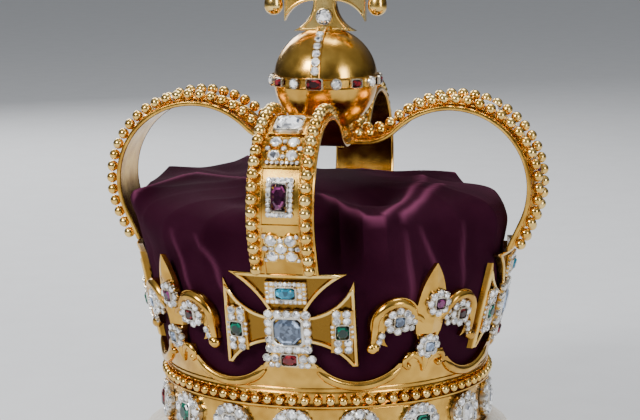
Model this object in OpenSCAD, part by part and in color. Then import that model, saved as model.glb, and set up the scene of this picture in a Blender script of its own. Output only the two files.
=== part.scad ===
// Arched crown: a gold circlet with four crosses and four fleurs-de-lis, four beaded
// half arches that meet under a globe and cross, a velvet cap and a fur trim.
// The crown stands on its fur trim. Front is -Y, right is +X, up is +Z.

/* [Circlet] */
// Outer diameter of the plain band
circlet_d = 204; // [198:1:212]
// Height of the plain band
band_h = 33; // [28:1:40]
// Wall of the band
band_wall = 2.2; // [1.8:0.1:3]
// Diameter of a rim bead
rim_bead_d = 6; // [4.5:0.1:6.5]
// Number of rim beads
rim_beads_n = 84; // [60:4:88]
// Lowest point of the scalloped wall above the beads
scallop_low = 12; // [9:0.5:15]
// Radius of a scallop
scallop_r = 34; // [31:0.5:36]
// Height at which crosses and fleurs stand on the wall
joint_z = 22; // [18:0.5:26]
// Outward lean of crosses and fleurs
lean = 12.5; // [11:0.25:13.5]

/* [Crosses] */
// Height of a cross's top edge above the rim beads
cross_top_z = 81; // [76:0.5:84]
// Height of a cross's centre above the rim beads
cross_mid_z = 46; // [43:0.5:49]
// Half width of a cross over its side arms
cross_half_w = 40; // [36:0.5:42]
// Radius of the hollow sides of the side arms
arm_hollow_r = 34; // [30:0.5:38]
// Thickness of crosses and fleurs at their raised edges
plate_t = 3.4; // [2.8:0.1:4]
// Depth of their sunk fields
field_d = 1.2; // [0.8:0.1:1.6]
// Width of their raised edges
edge_w = 2; // [1.5:0.1:2.5]

/* [Fleurs] */
// Height of the leaf tip above the rim beads
leaf_top_z = 84; // [78:0.5:88]
// Height of the petals' centres above the rim beads
petal_mid_z = 49; // [47:0.5:51]
// Half width of the leaf
leaf_half_w = 10.5; // [9:0.5:12]
// Half width of a fleur over its curled petals
fleur_half_w = 39; // [36:0.5:40]
// Diameter of the ball that ends a petal
petal_ball_d = 7; // [6:0.5:8]

/* [Arches] */
// Width of an arch
arch_w = 40; // [37:0.5:42]
// Thickness of an arch plate
arch_t = 2.6; // [2:0.1:3.2]
// Radius of the arch's main curve at the middle of the plate
arch_r = 49.5; // [48:0.25:51]
// Height of that curve's centre above the rim beads
arch_mid_z = 120; // [118:0.5:122]
// Angle below the horizontal where the curve turns straight
foot_angle = 25; // [20:1:28]
// Angle past the crest where the curve turns into the dip
dip_angle = 45; // [42:1:48]
// Radius of the dip at the middle of the plate
dip_r = 28; // [26:0.5:30]
// Diameter of an arch bead
arch_bead_d = 7; // [6:0.1:7.2]
// Beads from foot to dip in each row
arch_beads_n = 22; // [16:1:22]
// Distance from bead to bead
bead_pitch = 7.6; // [7.3:0.05:8]
// Distance of a bead row's middle from the arch's edge
bead_in = 4; // [3.75:0.25:5]

/* [Globe and cross] */
// Diameter of the globe
globe_d = 66; // [60:1:68]
// Height of the globe above the plate at the crossing
collar_h = 3.4; // [2.4:0.2:6]
// Height of the globe's belt
belt_h = 5.4; // [4.5:0.1:6]
// Number of belt stones
belt_stones_n = 16; // [12:2:18]
// Half width of the top cross
top_half_w = 26; // [23:0.5:28]
// Height of the top cross
top_h = 52; // [48:1:56]
// Thickness of the top cross
top_t = 6; // [5:0.5:8]
// Width of a drop
drop_d = 12; // [10:0.5:13]

/* [Cap and fur] */
// Wall of the velvet cap
cap_wall = 2; // [1.5:0.1:3]
// Height of the cap's top edge above the rim beads
cap_edge_z = 112; // [104:1:114]
// Reach of the cap's top edge past the inner faces of the crosses
cap_out = 1.3; // [-2:0.1:2]
// Height of the cap's middle above the rim beads
cap_mid_z = 121; // [112:1:124]
// Height of the fur trim
fur_h = 32; // [26:1:34]
// How far the fur trim stands out from the band
fur_out = 22; // [16:1:26]
// How far the fur trim goes in under the band
fur_in = 10; // [6:1:12]

/* [Hidden] */
SIDES = ["front", "right", "back", "left"];
JEWELS = ["centre", "top", "left", "right", "bottom"];
$fn = 72;

gap = 0.3;          // clearance between separate pieces
stone_gap = 0.15;   // clearance of a stone in its frame
far = 400;          // longer than the crown

band_r = circlet_d / 2;
base_z = fur_h + gap;               // underside of the band
ring_z = base_z + band_h;           // height of the rim bead centres
bead_ring_r = band_r + 2;
wall_in_r = band_r - band_wall;     // inner radius of the leaning wall at the beads
wall_t = 2.2;
bay_angle = 45;
bay_mid_z = scallop_low + scallop_r;
bay_arc = (band_r + 4) * PI / 8;    // from a cross to the middle of a bay
mount_n = 16;

gold = "gold";
old_gold = "goldenrod";
white = "whitesmoke";

function side_angle(i) = -90 + 90 * i;
function fleur_angle(i) = -45 + 90 * (i - 1);
function cone_r(z) = wall_in_r + z * tan(lean);

// Puts a child on the leaning wall: its X along the wall, Y up the wall, Z outwards
module on_wall(angle, across, z, lift) {
    turn = asin(across / cone_r(z));
    rotate([0, 0, angle + turn])
        translate([cone_r(z), 0, ring_z + z])
            rotate([0, lean, 0]) rotate([90, 0, 90])
                translate([0, 0, lift]) children();
}

// Runs a flat drawing outwards, X across and Y up from the rim beads
module outwards(angle, from = 60) {
    rotate([0, 0, angle]) translate([from, 0, ring_z]) rotate([90, 0, 90])
        linear_extrude(120) children();
}

// Ring with leaning walls between two offsets from the wall's inner face
module leaning_ring(z0, z1, in_off, out_off) {
    rotate_extrude($fn = 144) translate([0, ring_z])
        polygon([
            [cone_r(z0) + in_off, z0], [cone_r(z0) + out_off, z0],
            [cone_r(z1) + out_off, z1], [cone_r(z1) + in_off, z1]
        ]);
}

module box_at(w, h, t) { translate([-w / 2, -h / 2, 0]) cube([w, h, t]); }

// Stones

// Plan of a cut stone: a rectangle with its corners cut off
module stone_plan(w, h) {
    c = min(w, h) * 0.28;
    polygon([
        [-w / 2 + c, -h / 2], [w / 2 - c, -h / 2], [w / 2, -h / 2 + c], [w / 2, h / 2 - c],
        [w / 2 - c, h / 2], [-w / 2 + c, h / 2], [-w / 2, h / 2 - c], [-w / 2, -h / 2 + c]
    ]);
}

// Cut stone with a flat table and eight sloping facets above its girdle
module stone(w, h, t) {
    girdle = 0.35 * t;
    linear_extrude(girdle) stone_plan(w, h);
    translate([0, 0, girdle]) linear_extrude(t - girdle, scale = 0.66) stone_plan(w, h);
}

// Frame with a seat for a stone, standing on Z = 0
module frame(w, h, t, stone_w, stone_h, seat) {
    difference() {
        box_at(w, h, t);
        translate([0, 0, seat])
            box_at(stone_w + 2 * stone_gap, stone_h + 2 * stone_gap, t);
    }
}

// Circlet

band_bottom = -band_h;
rim_h = 2;                                    // height of the band's lower rim
rim_out = 2.6;                                // how far the lower rim stands out
bead_seat = rim_bead_d / 2 + gap;             // from the bead centres to their groove
shelf_t = 1.3;                                // thickness of the shelf under the beads
shelf_out = 3.4;                              // how far the shelf stands out
mount_w = 28;
mount_t = 2.2;
mount_h = band_h - rim_h - bead_seat - shelf_t - 2 * gap;
mount_z = -bead_seat - shelf_t - gap - mount_h / 2;

module scallop_holes(radius) {
    for (i = [0:7])
        rotate([0, 0, 22.5 + bay_angle * i]) translate([60, 0, ring_z + bay_mid_z])
            rotate([0, 90, 0]) cylinder(r = radius, h = 120);
}

module circlet() {
    edge_slope = 0.4;      // rise of the sloped edges of rim and shelf
    groove_r = bead_ring_r - bead_seat;
    color(gold) difference() {
        union() {
            translate([0, 0, ring_z]) rotate_extrude($fn = 144) polygon([
                [wall_in_r, band_bottom], [band_r + rim_out, band_bottom],
                [band_r + rim_out, band_bottom + rim_h - edge_slope],
                [band_r, band_bottom + rim_h], [band_r, -bead_seat - shelf_t],
                [band_r + shelf_out, -bead_seat - shelf_t + edge_slope],
                [band_r + shelf_out, -bead_seat], [groove_r, -bead_seat],
                [groove_r, bead_seat], [cone_r(bead_seat) + wall_t, bead_seat],
                [cone_r(joint_z) + wall_t, joint_z], [cone_r(joint_z), joint_z],
                [wall_in_r, 0]
            ]);
            difference() {
                leaning_ring(bead_seat, joint_z, 1, plate_t);
                scallop_skirt(scallop_r + edge_w + 1);
            }
        }
        scallop_holes(scallop_r);
    }
}

// What is left plain of the leaning wall: all that lies outside the raised edges
module scallop_skirt(radius) {
    difference() {
        cylinder(r = 150, h = far);
        scallop_holes(radius);
    }
}

module rim_beads() {
    wire = 1.2;
    color(gold) translate([0, 0, ring_z]) union() {
        rotate_extrude($fn = 144) translate([bead_ring_r - wire, -rim_bead_d / 2])
            square([2 * wire, 1]);
        for (i = [0:rim_beads_n - 1])
            rotate([0, 0, 360 * i / rim_beads_n]) translate([bead_ring_r, 0, 0])
                sphere(d = rim_bead_d);
    }
}

// Lobed outline of a mount
module mount_plan() {
    lobe = mount_w / 5;
    union() {
        circle(d = mount_w * 0.72);
        for (a = [0:40:320])
            translate([(mount_w / 2 - lobe) * sin(a), (mount_h / 2 - lobe) * cos(a)])
                circle(r = lobe);
    }
}

module circlet_mounts() {
    color(white) for (i = [0:mount_n - 1])
        intersection() {
            rotate([0, 0, 360 * i / mount_n]) translate([60, 0, ring_z + mount_z])
                rotate([90, 0, 90]) linear_extrude(80) mount_plan();
            translate([0, 0, base_z]) rotate_extrude($fn = 144)
                translate([band_r + gap, 0]) square([mount_t, band_h]);
        }
}

circlet_stone_w = 11;
circlet_stone_h = 12;

module circlet_stones() {
    color("seagreen") for (i = [0:mount_n - 1])
        rotate([0, 0, 360 * i / mount_n])
            translate([band_r + gap + mount_t + gap, 0, ring_z + mount_z])
                rotate([90, 0, 90]) stone(circlet_stone_w, circlet_stone_h, 3.6);
}

// Crosses

side_arm_half = 8;       // half height of a side arm at the middle
top_arm_half = 11;       // half width of the top arm at its root
top_tip_x = 35;
top_hollow_r = 57;
top_hollow_sag = 2;

// Flat outline of a cross, pulled in by an inset
module cross_plan(inset = 0) {
    top_y = cross_top_z - inset;
    root = [top_arm_half, cross_mid_z + top_arm_half + 1];
    tip = [top_tip_x, cross_top_z];
    along = (tip - root) / norm(tip - root);
    mid = (root + tip) / 2 + (top_hollow_r - top_hollow_sag) * [along[1], -along[0]];
    difference() {
        translate([-cross_half_w + inset, joint_z + gap])
            square([2 * (cross_half_w - inset), top_y - joint_z - gap]);
        for (s = [-1, 1]) scale([s, 1]) {
            intersection() {
                translate([side_arm_half, cross_mid_z + side_arm_half + arm_hollow_r])
                    circle(r = arm_hollow_r + inset);
                translate(mid) circle(r = top_hollow_r + inset);
            }
            intersection() {
                translate([side_arm_half, cross_mid_z - side_arm_half - arm_hollow_r])
                    circle(r = arm_hollow_r + inset);
                translate([bay_arc, bay_mid_z]) circle(r = scallop_r + inset);
            }
        }
    }
}

// Jewel places of a cross: name, across, height, frame w, h, stone w, h
CROSS_JEWELS = [
    ["centre", 0, cross_mid_z, 27, 27, 17, 17],
    ["top", 0, cross_top_z - 10.5, 25, 14, 12, 7.5],
    ["left", 9 - cross_half_w, cross_mid_z, 13, 27, 8, 9],
    ["right", cross_half_w - 9, cross_mid_z, 13, 27, 8, 9],
    ["bottom", 0, joint_z + 6, 22, 9, 9.5, 7.2]
];
frame_t = 2.4;
cross_stone_t = 3.8;
frame_seat = 1;
frame_sink = 1.2;        // depth of a frame in the plate behind it

module cross(side) {
    a = side_angle(side);
    color(gold) union() {
        difference() {
            intersection() {
                outwards(a) cross_plan();
                leaning_ring(joint_z - 1, cross_top_z + 1, 0, plate_t);
            }
            intersection() {
                outwards(a) cross_plan(edge_w);
                leaning_ring(joint_z - 2, cross_top_z + 2, plate_t - field_d, 20);
            }
        }
        for (j = CROSS_JEWELS)
            on_wall(a, j[1], j[2], plate_t - field_d - frame_sink)
                frame(j[3], j[4], frame_t + frame_sink, j[5], j[6], frame_seat + frame_sink);
    }
}

module cross_stone(side, k) {
    j = CROSS_JEWELS[k];
    tint = ["lightsteelblue", "skyblue", "darkgreen", "darkgreen", "darkred"][k];
    color(tint) on_wall(side_angle(side), j[1], j[2], plate_t - field_d + frame_seat + stone_gap)
        stone(j[5], j[6], cross_stone_t);
}

// Fleurs-de-lis

petal_r = 15.5;
petal_x = fleur_half_w - petal_r;
petal_inner = [-0.29, -0.48] * petal_r;   // centre of a petal's inner circle
petal_inner_r = 0.71 * petal_r;
tail_x = 0.755 * petal_r;                 // middle of a petal's straight tail
tail_w = 4.4;
tie_z = petal_mid_z + 7;                  // bar that ties the petals to the leaf
ball_z = petal_mid_z - 15;
leaf_base_z = petal_mid_z - 9;

// Pointed leaf: two arcs that meet at the tip
module leaf_plan(inset = 0) {
    half_l = (leaf_top_z - leaf_base_z) * 0.68;
    r = (half_l * half_l + leaf_half_w * leaf_half_w) / (2 * leaf_half_w);
    translate([0, leaf_top_z - half_l]) intersection() {
        translate([r - leaf_half_w, 0]) circle(r = r - inset);
        translate([leaf_half_w - r, 0]) circle(r = r - inset);
    }
}

// Curled petal on the right: a crescent that ends in a ball
module petal_plan(inset = 0) {
    translate([petal_x, petal_mid_z]) difference() {
        circle(r = petal_r - inset);
        translate(petal_inner) circle(r = petal_inner_r + inset);
        translate([-2 * petal_r, -2 * petal_r - 9]) square([2 * petal_r + 2, 2 * petal_r]);
    }
}

module fleur_plan() {
    stem_w = 8;
    foot_w = 26;
    foot_h = 6;
    low = joint_z + gap;
    union() {
        leaf_plan();
        for (s = [-1, 1]) scale([s, 1]) {
            petal_plan();
            translate([petal_x + tail_x - tail_w / 2, ball_z + 2])
                square([tail_w, petal_mid_z - 3 - ball_z - 2]);
        }
        translate([-stem_w / 2, low]) square([stem_w, tie_z - low]);
        translate([-foot_w / 2, low]) square([foot_w, foot_h]);
        translate([0, tie_z]) square([22, 5], center = true);
    }
}

// Settings of a fleur: across, height, frame diameter, stone w, h
FLEUR_JEWELS = [
    [3.5, tie_z + 4, 15, 6.4, 6.4], [1.5 - petal_x, petal_mid_z + 2, 15, 6.4, 6.4],
    [petal_x - 1.5, petal_mid_z + 2, 15, 6.4, 6.4], [0, joint_z + 11, 15, 7, 7]
];
fleur_frame_t = 2.2;

module fleur(i) {
    a = fleur_angle(i);
    color(gold) union() {
        difference() {
            intersection() {
                outwards(a) fleur_plan();
                leaning_ring(joint_z - 1, leaf_top_z + 1, 0, plate_t);
            }
            intersection() {
                outwards(a) leaf_plan(edge_w);
                leaning_ring(joint_z - 2, leaf_top_z + 2, plate_t - field_d, 20);
            }
        }
        for (s = [-1, 1])
            on_wall(a, s * (petal_x + tail_x), ball_z, petal_ball_d / 2)
                sphere(d = petal_ball_d, $fn = 40);
        for (j = FLEUR_JEWELS)
            on_wall(a, j[0], j[1], plate_t - field_d - frame_sink) difference() {
                cylinder(d = j[2], h = fleur_frame_t + frame_sink, $fn = 40);
                translate([0, 0, frame_seat + frame_sink])
                    box_at(j[3] + 2 * stone_gap, j[4] + 2 * stone_gap, fleur_frame_t);
            }
    }
}

module fleur_stones(i) {
    a = fleur_angle(i);
    color("purple") for (j = FLEUR_JEWELS)
        on_wall(a, j[0], j[1], plate_t - field_d + frame_seat + stone_gap) stone(j[3], j[4], 3.4);
}

// Arches

half_t = arch_t / 2;
bead_row = arch_w / 2 - bead_in;
// Length of an arch's straight foot, and the reach at which it stands on its cross
foot_l = (arch_mid_z - arch_r * sin(foot_angle) - cross_top_z) / cos(foot_angle);
arch_reach = cone_r(cross_top_z) + plate_t / 2 - arch_r * cos(foot_angle)
    + foot_l * sin(foot_angle);
dip_x = arch_reach - (arch_r + dip_r) * sin(dip_angle);   // centre of the dip
dip_z = arch_mid_z + (arch_r + dip_r) * cos(dip_angle);
flat_z = dip_z - dip_r;                                   // middle of the flat plate
arch_end = arch_w / 2 + gap;                              // where an arch stops

module sector(r, a0, a1) {
    steps = 6;
    polygon([[0, 0], for (i = [0:steps]) let (a = a0 + (a1 - a0) * i / steps)
        [2 * r * cos(a), 2 * r * sin(a)]]);
}

// Side view of an arch between two offsets from the plate's middle line, cut off
// level at its foot and square at the crossing
module arch_side(low, high, foot_z = cross_top_z + gap, to_end = arch_end) {
    past = asin(max(to_end - dip_x, 0) / (dip_r - high));   // where the dip itself ends
    difference() {
        union() {
            translate([arch_reach, arch_mid_z]) rotate(-foot_angle) union() {
                intersection() {
                    difference() {
                        circle(r = arch_r + high, $fn = 144);
                        circle(r = arch_r + low, $fn = 144);
                    }
                    sector(arch_r, 0, 90 + dip_angle + foot_angle);
                }
                translate([arch_r + low, -arch_w]) square([high - low, arch_w]);
            }
            translate([dip_x, dip_z]) union() {
                intersection() {
                    difference() {
                        circle(r = dip_r - low, $fn = 144);
                        circle(r = dip_r - high, $fn = 144);
                    }
                    sector(dip_r, -90 + past, -90 + dip_angle);
                }
                translate([to_end - dip_x, low - dip_r]) square([max(dip_x - to_end, 1), high - low]);
            }
        }
        square([far, foot_z]);
    }
}

// Stands an arch's side view up and runs it across the arch
module across_arch(side, from, to) {
    rotate([0, 0, side_angle(side)]) translate([0, to, ring_z]) rotate([90, 0, 0])
        linear_extrude(to - from) children();
}

// Puts a child on the arch at an angle of its main curve, Z outwards, Y up the arch;
// past the foot angle it goes on down the straight foot
module on_arch(side, along, across, lift) {
    r = arch_r + half_t + lift;
    angle = max(along, -foot_angle);
    rotate([0, 0, side_angle(side)]) translate([arch_reach, across, ring_z + arch_mid_z])
        rotate([0, -angle, 0]) translate([r, 0, -(angle - along) * PI / 180 * r])
            rotate([90, 0, 90]) children();
}

// Puts a child in the dip at an angle back from where the dip begins
module in_dip(side, back, across, lift) {
    r = dip_r - half_t - lift;
    angle = min(back, dip_angle);
    rotate([0, 0, side_angle(side)]) translate([dip_x, across, ring_z + dip_z])
        rotate([0, -dip_angle + angle, 0])
            translate([-(back - angle) * PI / 180 * r, 0, -r]) children();
}

// Stones of an arch: angle along the curve, across, stone w, h, colour
ARCH_STONES = [
    [66, 0, 16, 14, white],
    for (x = [-5.5, 5.5], a = [38, 49]) [a, x, 7.5, 7.5, white],
    [10, 0, 9, 16, "indigo"],
    for (x = [-6, 6], a = [-31, -19]) [a, x, 7.5, 7.5, white],
    [-25, 0, 5, 5, white]
];
// Cross bars of an arch: angle along the curve
ARCH_BARS = [78, 57, 30, -9];

module arch(side) {
    fillet = 1;
    bar = 1.4;
    inner = bead_row - arch_bead_d / 2 - 1;
    color(gold) union() {
        across_arch(side, -arch_w / 2, arch_w / 2) arch_side(-half_t, half_t);
        for (s = [-1, 1])
            across_arch(side, s * inner - fillet / 2, s * inner + fillet / 2)
                arch_side(0, half_t + fillet, cross_top_z + 1.5, arch_end + 1);
        for (a = ARCH_BARS)
            on_arch(side, a, 0, -half_t) box_at(2 * inner, bar, half_t + bar);
    }
}

// Path of the bead centres, and the angle from bead to bead on it
bead_rise = 0.3;     // of a bead's lowest point over the underside of its wire
bead_lift = gap + bead_rise + arch_bead_d / 2;
bead_path_r = arch_r + half_t + bead_lift;
bead_angle = bead_pitch / bead_path_r * 180 / PI;
last_bead = 90 + dip_angle - 3;
dip_bead_angle = bead_pitch / (dip_r - half_t - bead_lift) * 180 / PI;
first_dip_bead = dip_bead_angle * (1 - 3 / bead_angle);

module arch_beads(side) {
    wire = 1;
    wire_t = 0.9;
    low = half_t + gap;
    color(gold) for (s = [-1, 1]) union() {
        across_arch(side, s * bead_row - wire, s * bead_row + wire)
            arch_side(low, low + wire_t, cross_top_z + 2, dip_x - 4);
        for (i = [0:arch_beads_n - 1])
            on_arch(side, last_bead - i * bead_angle, s * bead_row, bead_lift)
                sphere(d = arch_bead_d, $fn = 40);
        for (i = [0:2])
            in_dip(side, first_dip_bead + i * dip_bead_angle, s * bead_row, bead_lift)
                sphere(d = arch_bead_d, $fn = 40);
    }
}

module arch_stones(side) {
    for (s = ARCH_STONES)
        color(s[4]) on_arch(side, s[0], s[1], gap) stone(s[2], s[3], 3.8);
}

// Crossing

collar_r = 15;
globe_z = flat_z + half_t + collar_h + globe_d / 2;

module crossing() {
    knob_d = 4;
    knob_at = arch_w / 2 - 8;
    knob_drop = 2.5;
    cup = 4;          // how far the collar reaches up round the globe
    color(old_gold) translate([0, 0, ring_z]) union() {
        translate([-arch_w / 2, -arch_w / 2, flat_z - half_t]) cube([arch_w, arch_w, arch_t]);
        difference() {
            translate([0, 0, flat_z])
                cylinder(r1 = collar_r + 3, r2 = collar_r, h = half_t + collar_h + cup);
            translate([0, 0, globe_z]) sphere(r = globe_d / 2 + gap, $fn = 96);
        }
        for (a = [0:90:270]) rotate([0, 0, a])
            translate([knob_at, knob_at, flat_z - half_t - knob_drop]) union() {
                cylinder(d = knob_d * 0.45, h = knob_drop + half_t);
                sphere(d = knob_d, $fn = 32);
            }
    }
}

// Globe

strap_w = 5;
strap_t = 1.2;
belt_t = 1.2;
globe_flat = 2.5;    // cut off the globe's top, where the cross stands

module monde() {
    color(gold) translate([0, 0, ring_z + globe_z]) union() {
        difference() {
            sphere(d = globe_d, $fn = 96);
            translate([-far / 2, -far / 2, globe_d / 2 - globe_flat]) cube([far, far, 10]);
        }
        rotate_extrude($fn = 96) translate([globe_d / 2 - 3, -belt_h / 2])
            square([3 + belt_t, belt_h]);
        intersection() {
            translate([-strap_w / 2, 0, 0]) rotate([90, 0, 90])
                linear_extrude(strap_w) circle(d = globe_d + 2 * strap_t, $fn = 96);
            translate([-far / 2, -far / 2, 1]) cube([far, far, globe_d / 2 - globe_flat - 1]);
        }
    }
}

belt_r = globe_d / 2 + belt_t;

module monde_stones() {
    for (i = [0:belt_stones_n - 1]) let (big = i % 2 == 0)
        color(big ? "darkred" : white)
            rotate([0, 0, -90 + 360 * i / belt_stones_n])
                translate([belt_r + gap, 0, ring_z + globe_z]) rotate([90, 0, 90])
                    stone(big ? 6.5 : 6, (big ? 0.92 : 0.85) * belt_h, 2.6);
}

module strap_stones() {
    step = 11;
    for (s = [0, 180], i = [0:5])
        color(white) rotate([0, 0, -90 + s]) translate([0, 0, ring_z + globe_z])
            rotate([0, -13 - i * step, 0]) translate([globe_d / 2 + strap_t + gap, 0, 0])
                rotate([90, 0, 90]) stone(4.4, 4.4, 2.2);
}

// Top cross

top_foot_z = globe_z + globe_d / 2 - globe_flat + gap;
top_mid_z = top_foot_z + top_h / 2;
top_neck = 7;
top_tip = 20;
top_bead_d = 9.5;
drop_out = drop_d / 2 + 1.5;         // from a side arm to the middle of its drop
drop_hang_z = 2;                     // above the middle of the top cross
drop_bead_d = 3;                     // bead that a drop hangs from

// Flat outline of the top cross about its centre
module top_plan() {
    // circles whose arcs run from the neck to the tips of two arms
    half_h = top_h / 2;
    dx = top_half_w - top_neck;
    dy = top_tip - top_neck;
    r = (dx * dx + dy * dy) / (2 * dy);
    difference() {
        translate([-top_half_w, -half_h]) square([2 * top_half_w, top_h]);
        for (sx = [-1, 1], sy = [-1, 1]) scale([sx, sy]) intersection() {
            translate([top_neck, top_neck + r]) circle(r = r);
            translate([top_neck + r, top_neck]) circle(r = r);
        }
    }
}

module top_cross() {
    color(gold) translate([0, 0, ring_z + top_mid_z]) union() {
        translate([0, top_t / 2, 0]) rotate([90, 0, 0]) linear_extrude(top_t) top_plan();
        translate([0, 0, -top_h / 2]) cylinder(d1 = 15, d2 = 10, h = 3);
        translate([0, 0, top_h / 2 - 0.5]) cylinder(d = 3, h = 2);
        translate([0, 0, top_h / 2 + top_bead_d / 2 + 0.5]) sphere(d = top_bead_d, $fn = 48);
        for (s = [-1, 1]) translate([s * (top_half_w + drop_out), 0, drop_hang_z])
            union() {
                rotate([0, -90 * s, 0]) cylinder(d = 2, h = drop_out + 1.5);
                sphere(d = drop_bead_d, $fn = 32);
            }
    }
}

// Places of the top cross's stones on each face: across, up, width
TOP_STONES = [[0, -17, 9.5], [0, 0, 8], [-15, 0, 6.5], [15, 0, 6.5], [0, 15, 6.5]];

module top_cross_stones() {
    for (f = [0, 180], s = TOP_STONES)
        color(white) rotate([0, 0, f]) translate([s[0], -top_t / 2 - gap, ring_z + top_mid_z + s[1]])
            rotate([90, 0, 0]) stone(s[2], s[2], 3);
}

// Egg-shaped drop hanging from a small cap
module drop(s) {
    r = drop_d / 2;
    big = 2.6 * r;
    top = sqrt(big * big - (big - r) * (big - r)) * 0.86;
    hang_z = ring_z + top_mid_z + drop_hang_z - drop_bead_d / 2;
    color("floralwhite")
        translate([s * (top_half_w + drop_out), 0, hang_z - gap - top])
            rotate_extrude($fn = 48) intersection() {
                union() {
                    circle(r = r);
                    intersection() {
                        translate([-(big - r), 0]) circle(r = big);
                        square([2 * r, top]);
                    }
                }
                translate([0, -2 * r]) square([2 * r, 6 * r]);
            }
}

// Velvet cap

// Form of the cap round the crown: angle from the front, height of the top edge and
// its reach as shares of the named sizes, and how far the wall is drawn in below it
CAP_FOLDS = [
    [0, 1.00, 0.64, 0.00], [10, 1.00, 0.62, 0.00], [17, 1.00, 0.74, 0.01],
    [24, 0.99, 0.87, 0.03], [31, 1.00, 0.92, 0.02], [40, 1.03, 0.84, 0.00],
    [48, 1.05, 0.80, 0.00], [60, 1.02, 0.90, 0.02], [74, 0.98, 1.00, 0.00],
    [90, 0.94, 0.97, 0.03], [108, 1.00, 0.95, 0.00], [126, 0.94, 0.95, 0.04],
    [142, 1.00, 0.98, 0.00], [160, 0.96, 0.94, 0.03], [180, 0.98, 0.97, 0.01],
    [200, 0.96, 0.95, 0.03], [220, 1.07, 0.98, 0.00], [238, 1.06, 0.96, 0.03],
    [256, 1.09, 0.99, 0.00], [270, 1.03, 1.00, 0.02], [284, 1.00, 1.05, 0.00],
    [296, 0.96, 0.99, 0.03], [312, 0.93, 0.97, 0.02], [328, 0.90, 0.92, 0.03],
    [345, 0.94, 0.78, 0.02], [360, 1.00, 0.64, 0.00]
];

// Value of one column of a table at an angle: high rows are ridges, low rows valleys
function fold_at(angle, col) =
    let (a = (angle % 360 + 360) % 360,
         k = max([for (i = [0:len(CAP_FOLDS) - 2]) if (CAP_FOLDS[i][0] <= a) i]),
         p = CAP_FOLDS[k], q = CAP_FOLDS[k + 1],
         t = (a - p[0]) / (q[0] - p[0]),
         s = q[col] > p[col] ? pow(t, 1.9) : 1 - pow(1 - t, 1.9))
    p[col] + (q[col] - p[col]) * s;

cap_edge_r = cone_r(cross_top_z) + cap_out;
cap_low_z = band_bottom;
cap_clear = 0.4;
cap_r0 = wall_in_r - cap_clear;

// Heights of the cap's wall between its foot and its bulge
cap_levels = cap_edge_z * [0.16, 0.32, 0.465, 0.607];

// Section of the cap at an angle, from its lower edge to its middle, as [radius, height]
function cap_section(angle) =
    let (ez = cap_edge_z * fold_at(angle, 1), er = cap_edge_r * fold_at(angle, 2),
         draw = cap_edge_r * fold_at(angle, 3), base = cap_r0 - cap_clear,
         l = cap_levels, out = l * tan(lean), shoulder = base + out[3] - draw * 0.7,
         rise = cap_mid_z - ez, bulge_z = (l[3] + ez * 0.93) / 2)
    [
        [cap_r0, cap_low_z], [cap_r0, 0], [cap_r0 + out[0], l[0]],
        [base + out[1], l[1]], [base + out[2] - draw * 0.3, l[2]], [shoulder, l[3]],
        [min((shoulder + er) / 2 - draw * 0.3, base + bulge_z * tan(lean)), bulge_z],
        [er, ez * 0.93], [er - 2, ez * 0.985], [er - 7, ez], [er * 0.8, ez + 0.4 * rise],
        [er * 0.58, ez + 0.8 * rise], [er * 0.3, cap_mid_z]
    ];

// The same section one wall further in
function cap_inner(section) = [
    for (i = [0:len(section) - 1])
        let (a = section[max(i - 1, 0)], b = section[min(i + 1, len(section) - 1)],
             d = (b - a) / norm(b - a), n = i == 0 ? [1, 0] : [d[1], -d[0]])
        [section[i][0] - cap_wall * n[0], section[i][1] - (i == 0 ? 0 : cap_wall * n[1])]
];

cap_n = 72;

module cap() {
    step = 360 / cap_n;
    outer = [for (i = [0:cap_n - 1]) cap_section(i * step)];
    inner = [for (s = outer) cap_inner(s)];
    m = len(outer[0]);
    row = 2 * m;
    points = [
        for (i = [0:cap_n - 1]) let (a = i * step - 90) each [
            for (p = outer[i]) [p[0] * cos(a), p[0] * sin(a), ring_z + p[1]],
            for (p = inner[i]) [p[0] * cos(a), p[0] * sin(a), ring_z + p[1]]
        ],
        [0, 0, ring_z + cap_mid_z], [0, 0, ring_z + cap_mid_z - cap_wall]
    ];
    top = cap_n * row;
    faces = [for (i = [0:cap_n - 1]) let (u = i * row, v = ((i + 1) % cap_n) * row) each [
        for (j = [0:m - 2]) each [
            [u + j, u + j + 1, v + j + 1], [u + j, v + j + 1, v + j],
            [u + m + j, v + m + j + 1, u + m + j + 1], [u + m + j, v + m + j, v + m + j + 1]
        ],
        [u + m - 1, top, v + m - 1], [u + row - 1, v + row - 1, top + 1],
        [u, v, v + m], [u, v + m, u + m]
    ]];
    color("indigo") polyhedron(points, faces, convexity = 6);
}

// Fur trim: a roll whose locks stand out from a round backing
fur_locks = 32;
fur_in_r = band_r - fur_in;
fur_r = band_r + fur_out;

module ermine() {
    n = fur_locks * 3;
    // section of the roll: reach and height as shares, and the share of lock relief
    section = [
        [0, 0.06, 0], [0.12, 0, 0], [0.7, 0, 0.4], [0.94, 0.12, 1], [1, 0.38, 1],
        [0.9, 0.66, 1], [0.66, 0.9, 0.7], [0.42, 1, 0.2], [0, 1, 0]
    ];
    m = len(section);
    relief = 2.6;
    points = [for (i = [0:n - 1], j = [0:m - 1])
        let (p = section[j], a = 360 * i / n, wave = ((i + (j % 2)) % 3 == 0 ? -1 : 0.3),
             r = fur_in_r + (fur_r - fur_in_r) * p[0] + relief * p[2] * min(wave, 0))
        [r * cos(a), r * sin(a), fur_h * p[1]]];
    faces = [for (i = [0:n - 1], j = [0:m - 1])
        let (i2 = (i + 1) % n, j2 = (j + 1) % m, a = i * m + j, b = i * m + j2,
             c = i2 * m + j2, d = i2 * m + j)
        each [[a, b, c], [a, c, d]]];
    color("ivory") polyhedron(points, faces, convexity = 4);
}

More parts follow.
